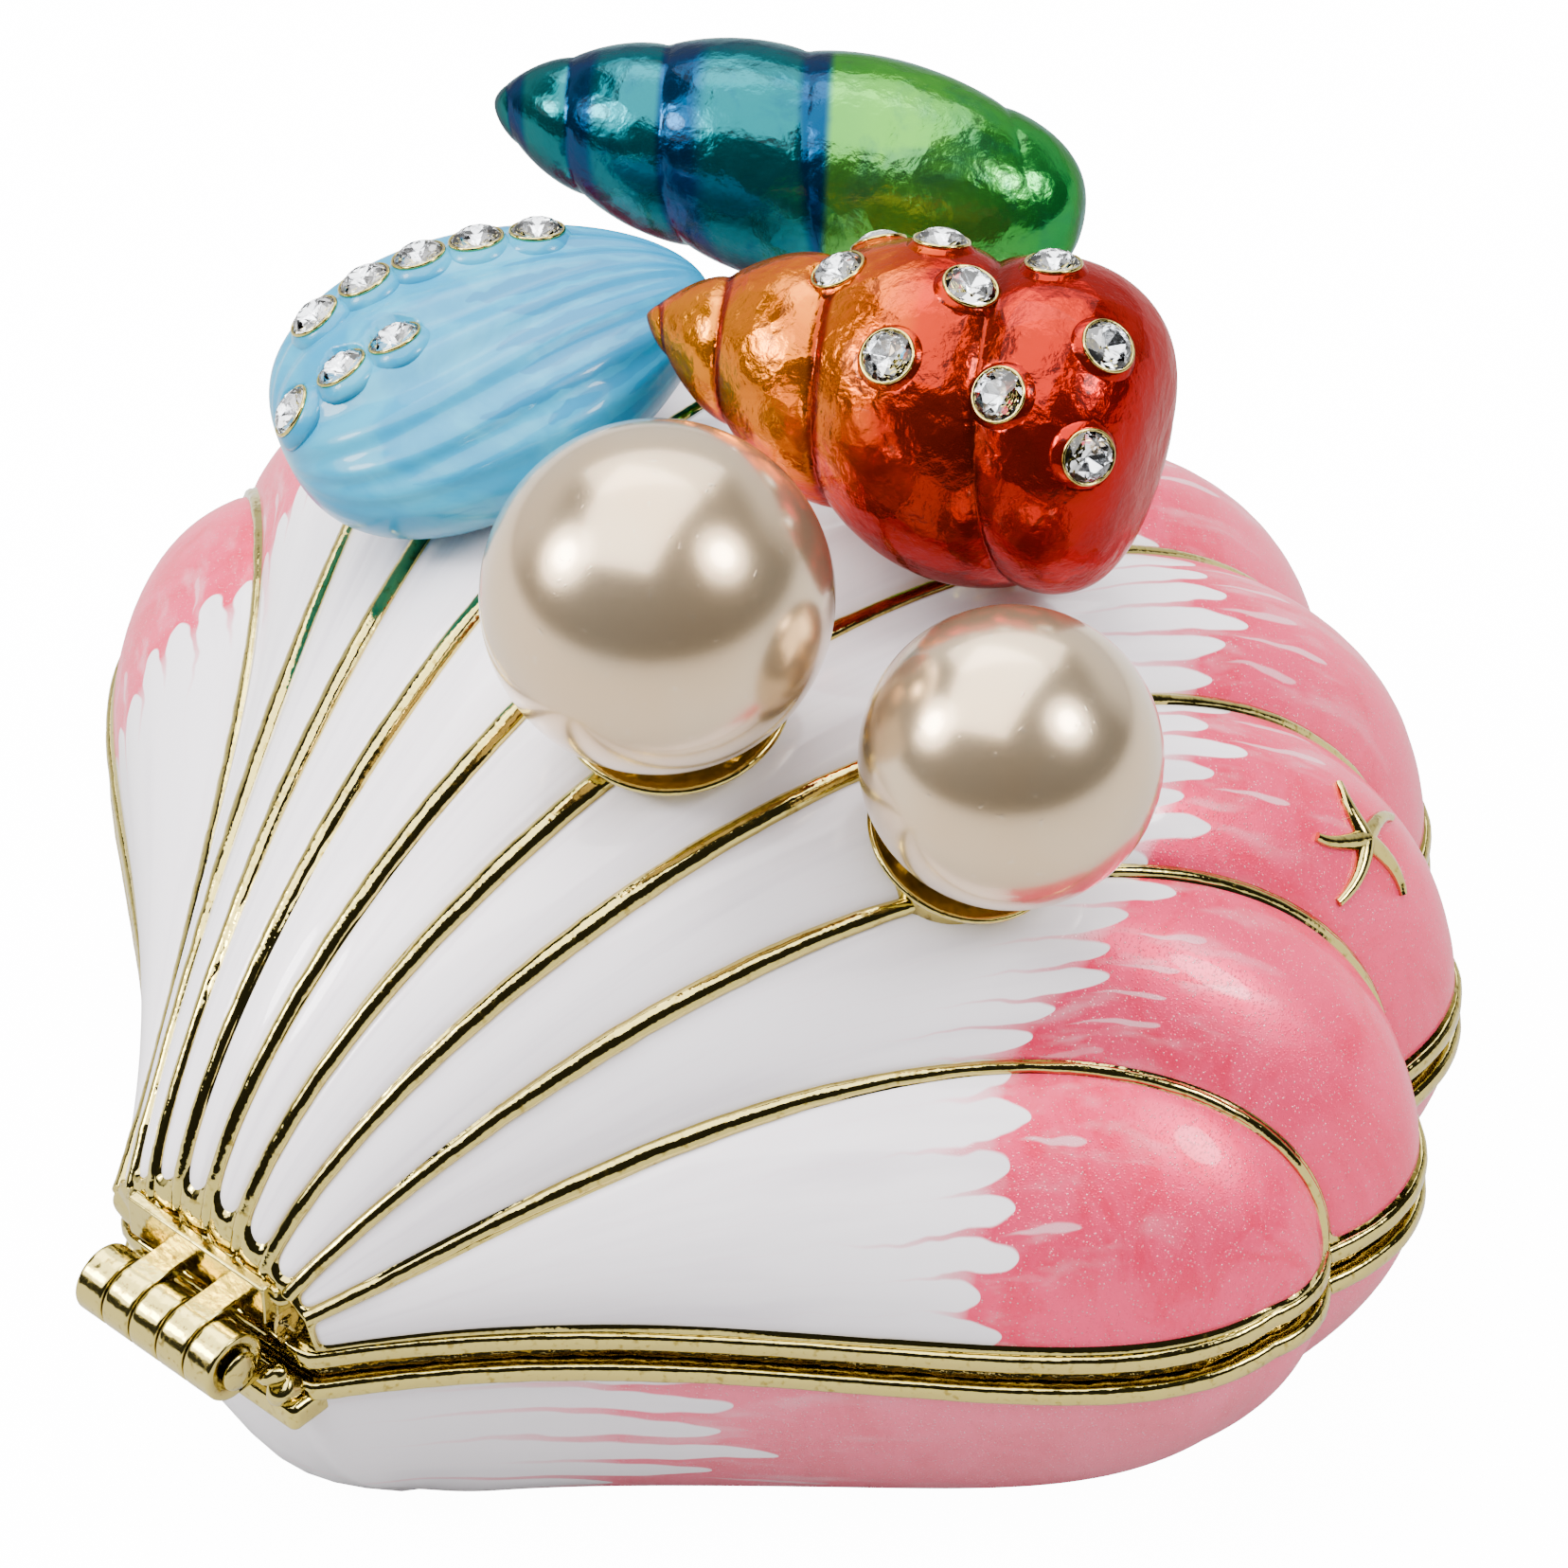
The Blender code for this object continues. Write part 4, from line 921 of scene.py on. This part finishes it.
smallShells = {
    "orange_snail": {
        "node": "snail_orange", "slot": "orange_red_enamel",
        "tip": (5.3 * mm, -4.6 * mm, 43.8 * mm), "axis": (-0.916, -0.393, -0.09),
        "sizes": {"Material": amberRed},
    },
    "teal_snail": {
        "node": "snail_teal", "slot": "teal_green_enamel",
        "tip": (23.6 * mm, -13.8 * mm, 40.0 * mm), "axis": (-0.889, -0.457, -0.05),
        "sizes": {"Length": 26.0 * mm, "Radius": 5.2 * mm, "Point Power": 0.60, "Foot Power": 0.40,
                  "Turns": 4.5, "Groove": 0.08, "Material": tealGreen},
    },
    "blue_cockle": {
        "node": "cockle_shell", "slot": "light_blue_enamel",
        "tip": (8.0 * mm, -10.7 * mm, 40.5 * mm), "axis": (0.44, 0.87, -0.21),
        "sizes": {},
    },
}


def standing(centre, axis):  # turns a piece made along +Z to an axis and puts it in its place
    return Matrix.Translation(centre) @ Vector(axis).to_track_quat("Z", "Y").to_matrix().to_4x4()


def makeSmallShells():
    coil, cockle = makeCoil(), makeCockle()
    for name, made in smallShells.items():
        piece = grow(name, cockle if name == "blue_cockle" else coil, made["sizes"])
        tidyMesh(piece)
        piece.data.transform(standing(made["tip"], made["axis"]))
        settle(piece, "lid", made["slot"], made["node"])


makeSmallShells()
print("small shells made")


# Turned pieces: a profile of radius and height spun about an axis
def turned(name, profile, material, centre=(0.0, 0.0, 0.0), axis=(0.0, 0.0, 1.0), steps=96):
    bm = bmesh.new()
    verts = [bm.verts.new((radius, 0.0, height)) for radius, height in profile]
    edges = [bm.edges.new(pair) for pair in zip(verts, verts[1:])]
    bmesh.ops.spin(bm, geom=verts + edges, cent=(0, 0, 0), axis=(0, 0, 1), angle=fullTurn, steps=steps,
                   use_merge=True)
    bmesh.ops.remove_doubles(bm, verts=bm.verts, dist=0.001 * mm)
    bmesh.ops.recalc_face_normals(bm, faces=bm.faces)
    bmesh.ops.transform(bm, matrix=standing(centre, axis), verts=bm.verts)
    mesh = meshFrom(bm, name, material)
    mesh.shade_smooth()
    return addPiece(name, mesh)


def nodeMiddle(node):
    low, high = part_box(node)
    return (low + high) / 2.0, (high - low) / 2.0


pearls = {
    "large_pearl": {"node": "pearl_large", "lean": (-0.15, 0.25, 1.0)},
    "small_pearl": {"node": "pearl_small", "lean": (-0.45, 0.0, 1.0)},
}


def makePearls(rows=72):
    for name, made in pearls.items():
        centre, half = nodeMiddle(made["node"])
        turns = [math.pi * row / rows for row in range(rows + 1)]
        profile = [(half.x * math.sin(turn), half.x * math.cos(turn)) for turn in turns]
        pearl = turned(name, profile, pearlCoat, centre, made["lean"], rows * 2)
        settle(pearl, "lid", "pearl", made["node"])
        cup = turned(name + "_cup", cupProfile(half.x), castGold, centre, made["lean"])
        settle(cup, "lid", "polished_gold")


# The cup's section, from under its foot, up the flared outside, over the lip and down the dish
def cupProfile(radius):
    foot = [(0.0, -1.40), (0.56, -1.38), (0.53, -1.26), (0.53, -1.16), (0.57, -1.09), (0.64, -1.055)]
    lip = [(0.675, -1.03), (0.68, -1.005), (0.66, -0.99), (0.635, -0.995)]
    dish = [(0.56, -1.015), (0.48, -1.03), (0.41, -1.015), (0.36, -0.975), (0.25, -0.99), (0.0, -1.01)]
    return [(out * radius, height * radius) for out, height in foot + lip + dish]


makePearls()

# Each post: x, y and height of its shoulder, radius and length
posts = {
    "orange": (-8.0 * mm, -10.4 * mm, 35.4 * mm, 1.6 * mm, 4.0 * mm),
    "tealNear": (12.0 * mm, -19.8 * mm, 34.1 * mm, 1.4 * mm, 6.0 * mm),
    "tealFar": (4.0 * mm, -23.9 * mm, 33.9 * mm, 1.4 * mm, 6.0 * mm),
    "cockleNear": (14.0 * mm, 1.0 * mm, 33.4 * mm, 1.4 * mm, 3.0 * mm),
    "cockleFar": (12.0 * mm, -3.0 * mm, 34.2 * mm, 1.4 * mm, 3.0 * mm),
}
postShape = {"top": 0.85 * mm, "topEdge": 0.8 * mm, "shoulder": -0.2 * mm, "neck": 0.92, "flare": 0.6}


def makePosts(rows=8):
    top, topEdge, shoulder, neck, flare = postShape.values()
    for name, (x, y, height, radius, length) in posts.items():
        profile = [(0.0, top), (radius * 0.9, topEdge), (radius * neck, shoulder)]
        for fall in (row / rows for row in range(rows + 1)):
            profile.append((radius * (neck + flare * fall ** 3), shoulder - length * fall))
        profile.append((0.0, profile[-1][1]))
        post = turned("post_" + name, profile, castGold, (x, y, height), steps=40)
        settle(post, "lid", "polished_gold")


makePosts()
print("pearls and posts made")

# Cut crystals, each in a gold ring on a low collar of its host's enamel
stone = {
    "radius": 1.08 * mm,
    "girdle": -0.17 * mm,  # from the wide end of the crystal's node
    "crown": 0.42 * mm,
    "depth": 0.50 * mm,
    "ring": 0.07 * mm,
    "ringGap": 0.05 * mm,
    "nodeHeight": 0.5 * mm,
    "foilDrop": -0.03 * mm,
    "socket": 0.65 * mm,  # how far the host's skin drops under the girdle
    "socketReach": 1.6 * mm,
}
# Each row of corners: radius, height as a share of the crown, count, and turn in steps
crownRows = [(0.54, 1.0, 8, 0.5), (0.80, 0.66, 8, 0.0), (1.0, 0.12, 16, 0.0)]
foilRows = [(1.04, 0.06, 16, 0.0)]
underRows = [(1.0, -0.06, 16, 0.0), (0.55, -0.62, 8, 0.5)]


# A round brilliant is the hull of its corners and its culet. Its foil is the same shape below
# the girdle, left open on top.
def makeStoneShape(foiled):
    bm = bmesh.new()
    for share, height, count, offset in (foilRows if foiled else crownRows) + underRows:
        for i in range(count):
            turn = fullTurn * (i + offset) / count
            radius = stone["radius"] * share
            bm.verts.new((radius * math.cos(turn), radius * math.sin(turn), stone["crown"] * height))
    bm.verts.new((0.0, 0.0, -stone["depth"]))
    bmesh.ops.convex_hull(bm, input=bm.verts)
    bmesh.ops.dissolve_limit(bm, angle_limit=0.01, verts=bm.verts, edges=bm.edges)
    if foiled:
        cover = [face for face in bm.faces if face.normal.z > 0.9]
        bmesh.ops.delete(bm, geom=cover, context="FACES_ONLY")
        bmesh.ops.translate(bm, verts=bm.verts, vec=(0.0, 0.0, stone["foilDrop"]))
    bmesh.ops.triangulate(bm, faces=bm.faces)
    return addPiece("stoneShape", meshFrom(bm, "stoneShape"))


# The gold ring round a stone
def ringProfile():
    middle = stone["radius"] + stone["ringGap"]
    return [(middle + stone["ring"] * math.cos(turn), stone["ring"] * 1.3 * math.sin(turn))
            for turn in (fullTurn * step / 12 for step in range(13))]


# The collar of enamel round a stone, from inside the ring down into its host
def moundProfile():
    inner = stone["radius"] - 0.02 * mm
    steps = ((0.0, -0.10), (0.08, -0.05), (0.16, -0.10), (0.26, -0.19), (0.36, -0.30), (0.46, -0.46),
             (0.50, -0.75), (-0.1, -0.75), (-0.1, -0.10), (0.0, -0.10))
    return [(inner + out * mm, height * mm) for out, height in steps]


# Sets one copy of a shape on each point, square to the point's own direction. The copies take
# the host's shell places where they touch it, so that its colours run on over them.
def makeSetting():
    tree, given, end = shapeTree("setting", {
        "Geometry": "geometry", "Shape": bpy.types.Object, "Host": bpy.types.Object, "Material": castGold})
    shape, host = (geo(tree, "ObjectInfo", {"Object": given[label]}, "Geometry")
                   for label in ("Shape", "Host"))
    facing, own = (geo(tree, "InputNamedAttribute", {"Name": label}, data_type="FLOAT_VECTOR")
                   for label in ("facing", "shellPlace"))
    turn = outlet(tree, "FunctionNodeAlignRotationToVector", {"Vector": facing}, axis="Z")
    placed = geo(tree, "MeshToPoints", {"Mesh": given["Geometry"]})
    placed = geo(tree, "InstanceOnPoints", {"Points": placed, "Instance": shape, "Rotation": turn})
    placed = geo(tree, "RealizeInstances", {"Geometry": placed})
    nearest = geo(tree, "SampleNearestSurface", {"Mesh": host, "Value": own}, data_type="FLOAT_VECTOR")
    placed = geo(tree, "StoreNamedAttribute", {"Geometry": placed, "Name": "shellPlace", "Value": nearest},
                 data_type="FLOAT_VECTOR", domain="POINT")
    placed = geo(tree, "SetMaterial", {"Geometry": placed, "Material": given["Material"]})
    feed(end.inputs["Geometry"], placed)
    return tree


# Where a crystal's girdle lies and which way it faces: its node narrows toward the table
def stonePlace(node):
    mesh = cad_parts[node].data
    points = [vert.co for vert in mesh.vertices]
    centre = sum(points, Vector()) / len(points)
    atEnd = stone["nodeHeight"] * 0.4
    table = max((face.normal.copy() for face in mesh.polygons),
                key=lambda way: sum((point - centre).dot(way) > atEnd for point in points))
    ends = {1.0: [], -1.0: []}
    for point in points:
        height = (point - centre).dot(table)
        ends[math.copysign(1.0, height)].append((point - centre - table * height).length)
    facing = table if max(ends[1.0]) < max(ends[-1.0]) else -table
    return centre + facing * (stone["girdle"] - stone["nodeHeight"] / 2.0), facing


# Drops the host's skin under each stone, inside its collar
def sinkSockets(host, places):
    reach = stone["radius"] + 0.06 * mm
    for vert in host.data.vertices:
        for place, facing in places:
            off = vert.co - place
            height = off.dot(facing)
            if abs(height) < stone["socketReach"] and (off - facing * height).length < reach:
                vert.co -= facing * (height + stone["socket"])


def makeCrystals():
    cut, foiled = makeStoneShape(False), makeStoneShape(True)
    ring = turned("stoneRing", ringProfile(), castGold, steps=40)
    mound = turned("stoneMound", moundProfile(), castGold, steps=40)
    setting = makeSetting()
    for tag, host, enamel, slot in (
            ("orange", bpy.data.objects["orange_snail"], amberRed, "orange_red_enamel"),
            ("cockle", bpy.data.objects["blue_cockle"], cockleEnamel, "light_blue_enamel")):
        nodes = sorted(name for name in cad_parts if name.startswith("crystal_" + tag))
        places = [stonePlace(node) for node in nodes]
        mesh = bpy.data.meshes.new("stonePoints")
        mesh.from_pydata([place for place, way in places], [], [])
        facing = mesh.attributes.new("facing", "FLOAT_VECTOR", "POINT")
        facing.data.foreach_set("vector", [part for place, way in places for part in way])
        for name, shape, material, itsSlot, itsNodes in (
                ("crystals", cut, crystalGlass, "cut_crystal", nodes),
                ("foils", foiled, stoneFoil, "polished_gold", ()),
                ("rings", ring, castGold, "polished_gold", ()), ("mounds", mound, enamel, slot, ())):
            sizes = {"Shape": shape, "Host": host, "Material": material}
            piece = grow(tag + "_" + name, setting, sizes, mesh.copy())
            settle(piece, "lid", itsSlot, *itsNodes)
        sinkSockets(host, places)
    for source in (cut, foiled, ring, mound):
        bpy.data.objects.remove(source)


makeCrystals()
print("crystals made")

# The starfish: slender arms that taper along the skin of one flute
star = {
    "Number": -2.6,
    "Share": 0.935,
    "Reach": 3.0 * mm,
    "First Turn": math.radians(20.0),
    "Bow": 0.25,
    "Root Radius": 0.46 * mm,
    "Tip Radius": 0.20 * mm,
    "Lift": 0.08 * mm,
}


def makeStar():
    tree, given, end = shapeTree("starfish", {"Arms": 5, "Steps": 16, **star, "Material": castGold})
    here = {"Number": given["Number"], "Share": given["Share"]}
    spans = []  # how long one rib step and one whole share are on the skin here
    for label, step in (("Number", 0.06), ("Share", 0.006)):
        pair = [skinAt(tree, **{**here, label: given[label] + move}) for move in (-step, step)]
        spans.append(vec("DISTANCE", *pair) / (2.0 * step))
    lines, index, factor = lineCopies(tree, given["Arms"], given["Steps"])
    turn = index * fullTurn / given["Arms"] + given["First Turn"] + factor * factor * given["Bow"]
    out = factor * given["Reach"]
    number = given["Number"] + out * cosOf(turn) / spans[0]
    share = given["Share"] + out * sinOf(turn) / spans[1]
    place = skinAt(tree, Number=number, Share=share, Lift=given["Lift"])
    path = geo(tree, "SetPosition", {"Geometry": lines, "Position": place})
    shape = sweep(path, lerp(given["Root Radius"], given["Tip Radius"], factor), 12)
    settle(grow("lid_star", closeTree(tree, end, shape, given["Material"]), {}), "lid", "polished_gold")


makeStar()

# The hinge: bevelled knuckles and tongues, two plates, a riveted pin and its solder
hinge = {
    "knuckles": 5,
    "seam": 0.10 * mm,
    "barrel": 1.55 * mm,
    "bore": 0.62 * mm,
    "edge": 0.10 * mm,
    "plate": 0.56 * mm,
    "lidPlateY": 28.0 * mm,
    "lidPlate": (15.9 * mm, 17.9 * mm),
    "lidTongue": (15.62 * mm, 16.24 * mm),
    "basePlateY": 28.35 * mm,
    "basePlate": (12.6 * mm, 13.45 * mm),
    "baseTongue": (13.15 * mm, 13.75 * mm),
    "backingWider": 0.3 * mm,
    "backingDepth": (2.2, 0.6),  # in half plates behind the lid's plate
    "backingDrop": (1.6 * mm, 0.25 * mm),  # under the top of the lid's plate
    "bracketHalfWidth": 5.7 * mm,
    "bracketBack": 24.9 * mm,
    "bracketZ": (10.9 * mm, 12.3 * mm),
    "bracketEdge": 0.4 * mm,
}
# Half of the pin's outline: its radius, and how far under the end of the pin
pinHead = ((0.0, 0.0), (0.3 * mm, 0.01 * mm), (0.62 * mm, 0.06 * mm), (0.86 * mm, 0.16 * mm),
           (0.92 * mm, 0.26 * mm), (0.6 * mm, 0.32 * mm))
pinRadius = 0.58 * mm
pinWay = (1.0, 0.0, 0.0)
# Drops of solder: along the lid's plate, and past each end of the base's
lidSolder = {"drops": 9, "back": 0.75 * mm, "down": 0.7 * mm, "radii": (0.75 * mm, 0.7 * mm, 0.55 * mm)}
baseSolder = (
    {"past": 0.75 * mm, "place": (28.2 * mm, 12.75 * mm), "radii": (0.7 * mm, 0.85 * mm, 0.65 * mm)},
    {"past": 0.5 * mm, "place": (28.5 * mm, 13.6 * mm), "radii": (0.5 * mm, 0.55 * mm, 0.5 * mm)},
)
solderLumps = {"lid": 0.18 * mm, "base": 0.25 * mm, "size": 0.9 * mm}


def rounded(name, low, high, edge, material, segments=3):
    bm = bmesh.new()
    bmesh.ops.create_cube(bm, size=1.0)
    low, high = Vector(low), Vector(high)
    size = high - low
    for vert in bm.verts:
        vert.co = Vector(part * span for part, span in zip(vert.co, size)) + (low + high) / 2.0
    bmesh.ops.bevel(bm, geom=bm.edges, offset=edge, segments=segments, profile=0.5, affect="EDGES")
    mesh = meshFrom(bm, name, material)
    for face in mesh.polygons:
        face.use_smooth = max(abs(part) for part in face.normal) < 0.999
    return addPiece(name, mesh)


def joinPieces(name, pieces):
    bm = bmesh.new()
    for piece in pieces:
        bm.from_mesh(piece.data)
    mesh = meshFrom(bm, name, pieces[0].data.materials[0])
    for piece in pieces:
        bpy.data.objects.remove(piece)
    return addPiece(name, mesh)


# A drop of solder, longer along one axis and made uneven by smooth noise
def drop(centre, radii, depth):
    bm = bmesh.new()
    bmesh.ops.create_icosphere(bm, subdivisions=4, radius=1.0)
    for vert in bm.verts:
        vert.co = Vector(part * radius for part, radius in zip(vert.co, radii)) + Vector(centre)
    mesh = meshFrom(bm, "drop", hingeGold)
    mesh.shade_smooth()
    shifts = [vert.normal * depth * noiseAt(vert.co / solderLumps["size"]) for vert in mesh.vertices]
    for vert, shift in zip(mesh.vertices, shifts):
        vert.co += shift
    return addPiece("drop", mesh)


# A knuckle's section. Rings close beside its rounded corners keep its sides and ends flat.
def knuckleProfile(half):
    barrel, bore, edge = hinge["barrel"], hinge["bore"], hinge["edge"]
    end = [(bore, half), (barrel - edge * 2.0, half), (barrel - edge, half),
           (barrel - edge * 0.3, half - edge * 0.3), (barrel, half - edge), (barrel, half - edge * 2.0)]
    return end + [(radius, -height) for radius, height in reversed(end)] + [(bore, half)]


def makeHinge():
    axis, reach = nodeMiddle("hinge_pin")
    barrelHalf = nodeMiddle("hinge_leaf_base")[1].x
    length = barrelHalf * 2.0 / hinge["knuckles"]
    half, thick = (length - hinge["seam"]) / 2.0, hinge["plate"] / 2.0
    leaves = {"lid": [], "base": []}

    def block(body, low, high):
        leaves[body].append(rounded("block", low, high, hinge["edge"], hingeGold))

    for number in range(hinge["knuckles"]):
        body = "lid" if number % 2 else "base"
        x = -barrelHalf + length * (number + 0.5)
        centre = (x, axis.y, axis.z)
        leaves[body].append(turned("knuckle", knuckleProfile(half), hingeGold, centre, pinWay, 64))
        low, high = hinge[body + "Tongue"]
        block(body, (x - half, hinge[body + "PlateY"], low), (x + half, axis.y, high))
    for body in leaves:
        (low, high), y = hinge[body + "Plate"], hinge[body + "PlateY"]
        block(body, (-barrelHalf, y - thick, low), (barrelHalf, y + thick, high))
    lidY, lidTop, wide = hinge["lidPlateY"], hinge["lidPlate"][1], barrelHalf + hinge["backingWider"]
    back, front = (lidY - thick * depth for depth in hinge["backingDepth"])
    bottom, top = (lidTop - fall for fall in hinge["backingDrop"])
    block("lid", (-wide, back, bottom), (wide, front, top))
    for i in range(lidSolder["drops"]):
        x = barrelHalf * (i * 2.0 / (lidSolder["drops"] - 1) - 1.0)
        centre = (x, lidY - lidSolder["back"], lidTop - lidSolder["down"])
        leaves["lid"].append(drop(centre, lidSolder["radii"], solderLumps["lid"]))
    for side in (-1.0, 1.0):
        for made in baseSolder:
            centre = (side * (barrelHalf + made["past"]), *made["place"])
            leaves["base"].append(drop(centre, made["radii"], solderLumps["base"]))
    for body, pieces in leaves.items():
        settle(joinPieces("hinge_" + body, pieces), body, "polished_gold", "hinge_leaf_" + body)
    head = [(radius, reach.x - under) for radius, under in pinHead] + [(pinRadius, 0.0)]
    profile = head + [(radius, -x) for radius, x in reversed(head)]
    pin = turned("hinge_pin_rivet", profile, hingeGold, axis, pinWay, 64)
    settle(pin, "base", "polished_gold", "hinge_pin")


# The ledge of the base under the hinge
def makeBracket():
    half, (low, high) = hinge["bracketHalfWidth"], hinge["bracketZ"]
    front = hinge["basePlateY"] + hinge["plate"] / 2.0
    piece = rounded("base_bracket", (-half, hinge["bracketBack"], low), (half, front, high),
                    hinge["bracketEdge"], castGold, 5)
    settle(piece, "base", "polished_gold")


makeHinge()
makeBracket()
print("hinge made")

# Stage, lights and camera
stageSizes = {
    "target": Vector((-2.0, -4.4, 22.5)) * mm,
    "distance": 393.0 * mm,
    "azimuth": 225.0,
    "elevation": 42.0,
    "roll": -1.75,
    "lens": 214.8,
    "paper": (0.38, 0.38, 0.38),
    "paperGlow": (0.05, 14.0),  # as light, and as the camera sees it
}


# Stands a camera or lamp round the box, facing its middle
def standRound(name, data, azimuth, elevation, distance, roll=0.0):
    turn, rise = math.radians(azimuth), math.radians(elevation)
    way = Vector((math.sin(turn) * math.cos(rise), -math.cos(turn) * math.cos(rise), math.sin(rise)))
    holder = bpy.data.objects.new(name, data)
    bpy.context.scene.collection.objects.link(holder)
    holder.location = stageSizes["target"] + way * distance
    holder.rotation_mode = "QUATERNION"
    holder.rotation_quaternion = way.to_track_quat("Z", "Y") @ Quaternion((0.0, 0.0, 1.0), math.radians(roll))
    return holder


def makeCamera():
    data = bpy.data.cameras.new("camera")
    data.lens, data.sensor_width = stageSizes["lens"], 36.0
    data.clip_start, data.clip_end = 0.01, 20.0
    bpy.context.scene.camera = standRound("camera", data, *(
        stageSizes[label] for label in ("azimuth", "elevation", "distance", "roll")))


def makeFloor():
    bm = bmesh.new()
    bmesh.ops.create_grid(bm, x_segments=1, y_segments=1, size=4.0)
    paper, tree, shader = newMaterial("floorPaper", stageSizes["paper"], Roughness=0.8,
                                      Emission_Color=(1.0, 1.0, 1.0, 1.0))
    seen = outlet(tree, "ShaderNodeLightPath", output="Is Camera Ray")
    paint(shader, Emission_Strength=lerp(*stageSizes["paperGlow"], seen))
    addPiece("floor", meshFrom(bm, "floor", paper))


# Each light: shape, azimuth and elevation round the box, distance, width, height and power
lights = {
    "leftBox": ("DISK", 138.0, 35.0, 0.75, 0.46, 0.46, 3.0),
    "leftCore": ("DISK", 138.0, 35.0, 0.74, 0.20, 0.20, 3.6),
    "rightBox": ("DISK", 296.0, 46.0, 0.75, 0.46, 0.46, 2.0),
    "rightCore": ("DISK", 296.0, 46.0, 0.74, 0.20, 0.20, 3.4),
    "topBox": ("RECTANGLE", 107.0, 77.0, 0.75, 1.05, 0.75, 15.0),
    "backBox": ("RECTANGLE", 45.0, 47.0, 0.9, 1.0, 0.50, 7.0),
}
surround = {
    "seen": 14.0,
    "fill": 0.09,
    "overhead": 2.0,
    "overheadFrom": (0.35, 0.9),
    "mirrored": 0.03,
    "sweep": 1.1,  # the white backdrop that curves up behind the box
    "away": (0.70, -0.70, 0.14),
    "sweepSides": (0.15, 0.6),
    "sweepTop": (0.3, 0.6),
}


def makeLights():
    for name, (shape, azimuth, elevation, distance, width, height, power) in lights.items():
        lamp = bpy.data.lights.new(name, "AREA")
        lamp.shape = shape
        lamp.size, lamp.size_y, lamp.energy = width, height, power
        standRound(name, lamp, azimuth, elevation, distance)
    world = bpy.data.worlds.new("studio")
    world.use_nodes = True
    bpy.context.scene.world = world
    tree = world.node_tree
    rays = addNode(tree, "ShaderNodeLightPath")
    seen, mirrored = (Wire(rays.outputs[name]) for name in ("Is Camera Ray", "Is Glossy Ray"))
    way = outlet(tree, "ShaderNodeTexCoord", output="Generated")
    up = split(way)[2]
    behind = smooth(vec("DOT_PRODUCT", way, surround["away"]), *surround["sweepSides"])
    behind = behind * (1.0 - smooth(up, *surround["sweepTop"]))
    room = lerp(surround["mirrored"], surround["sweep"], behind)
    fill = lerp(surround["fill"], surround["overhead"], smooth(up, *surround["overheadFrom"]))
    strength = lerp(lerp(fill, room, mirrored), surround["seen"], seen)
    paint(tree.nodes["Background"], Color=(1.0, 1.0, 1.0, 1.0), Strength=strength)


makeCamera()
makeFloor()
makeLights()
print("stage, lights and camera made")

settle(lidEnamelPiece, "lid", "shell_enamel", "lid_shell")
settle(baseBowl, "base", "shell_enamel", "base_shell")
for piece in (lidCasting, lidRibs):
    settle(piece, "lid", "polished_gold")
for name, (body, sizes) in rimRings.items():
    settle(rings[name], body, "polished_gold")
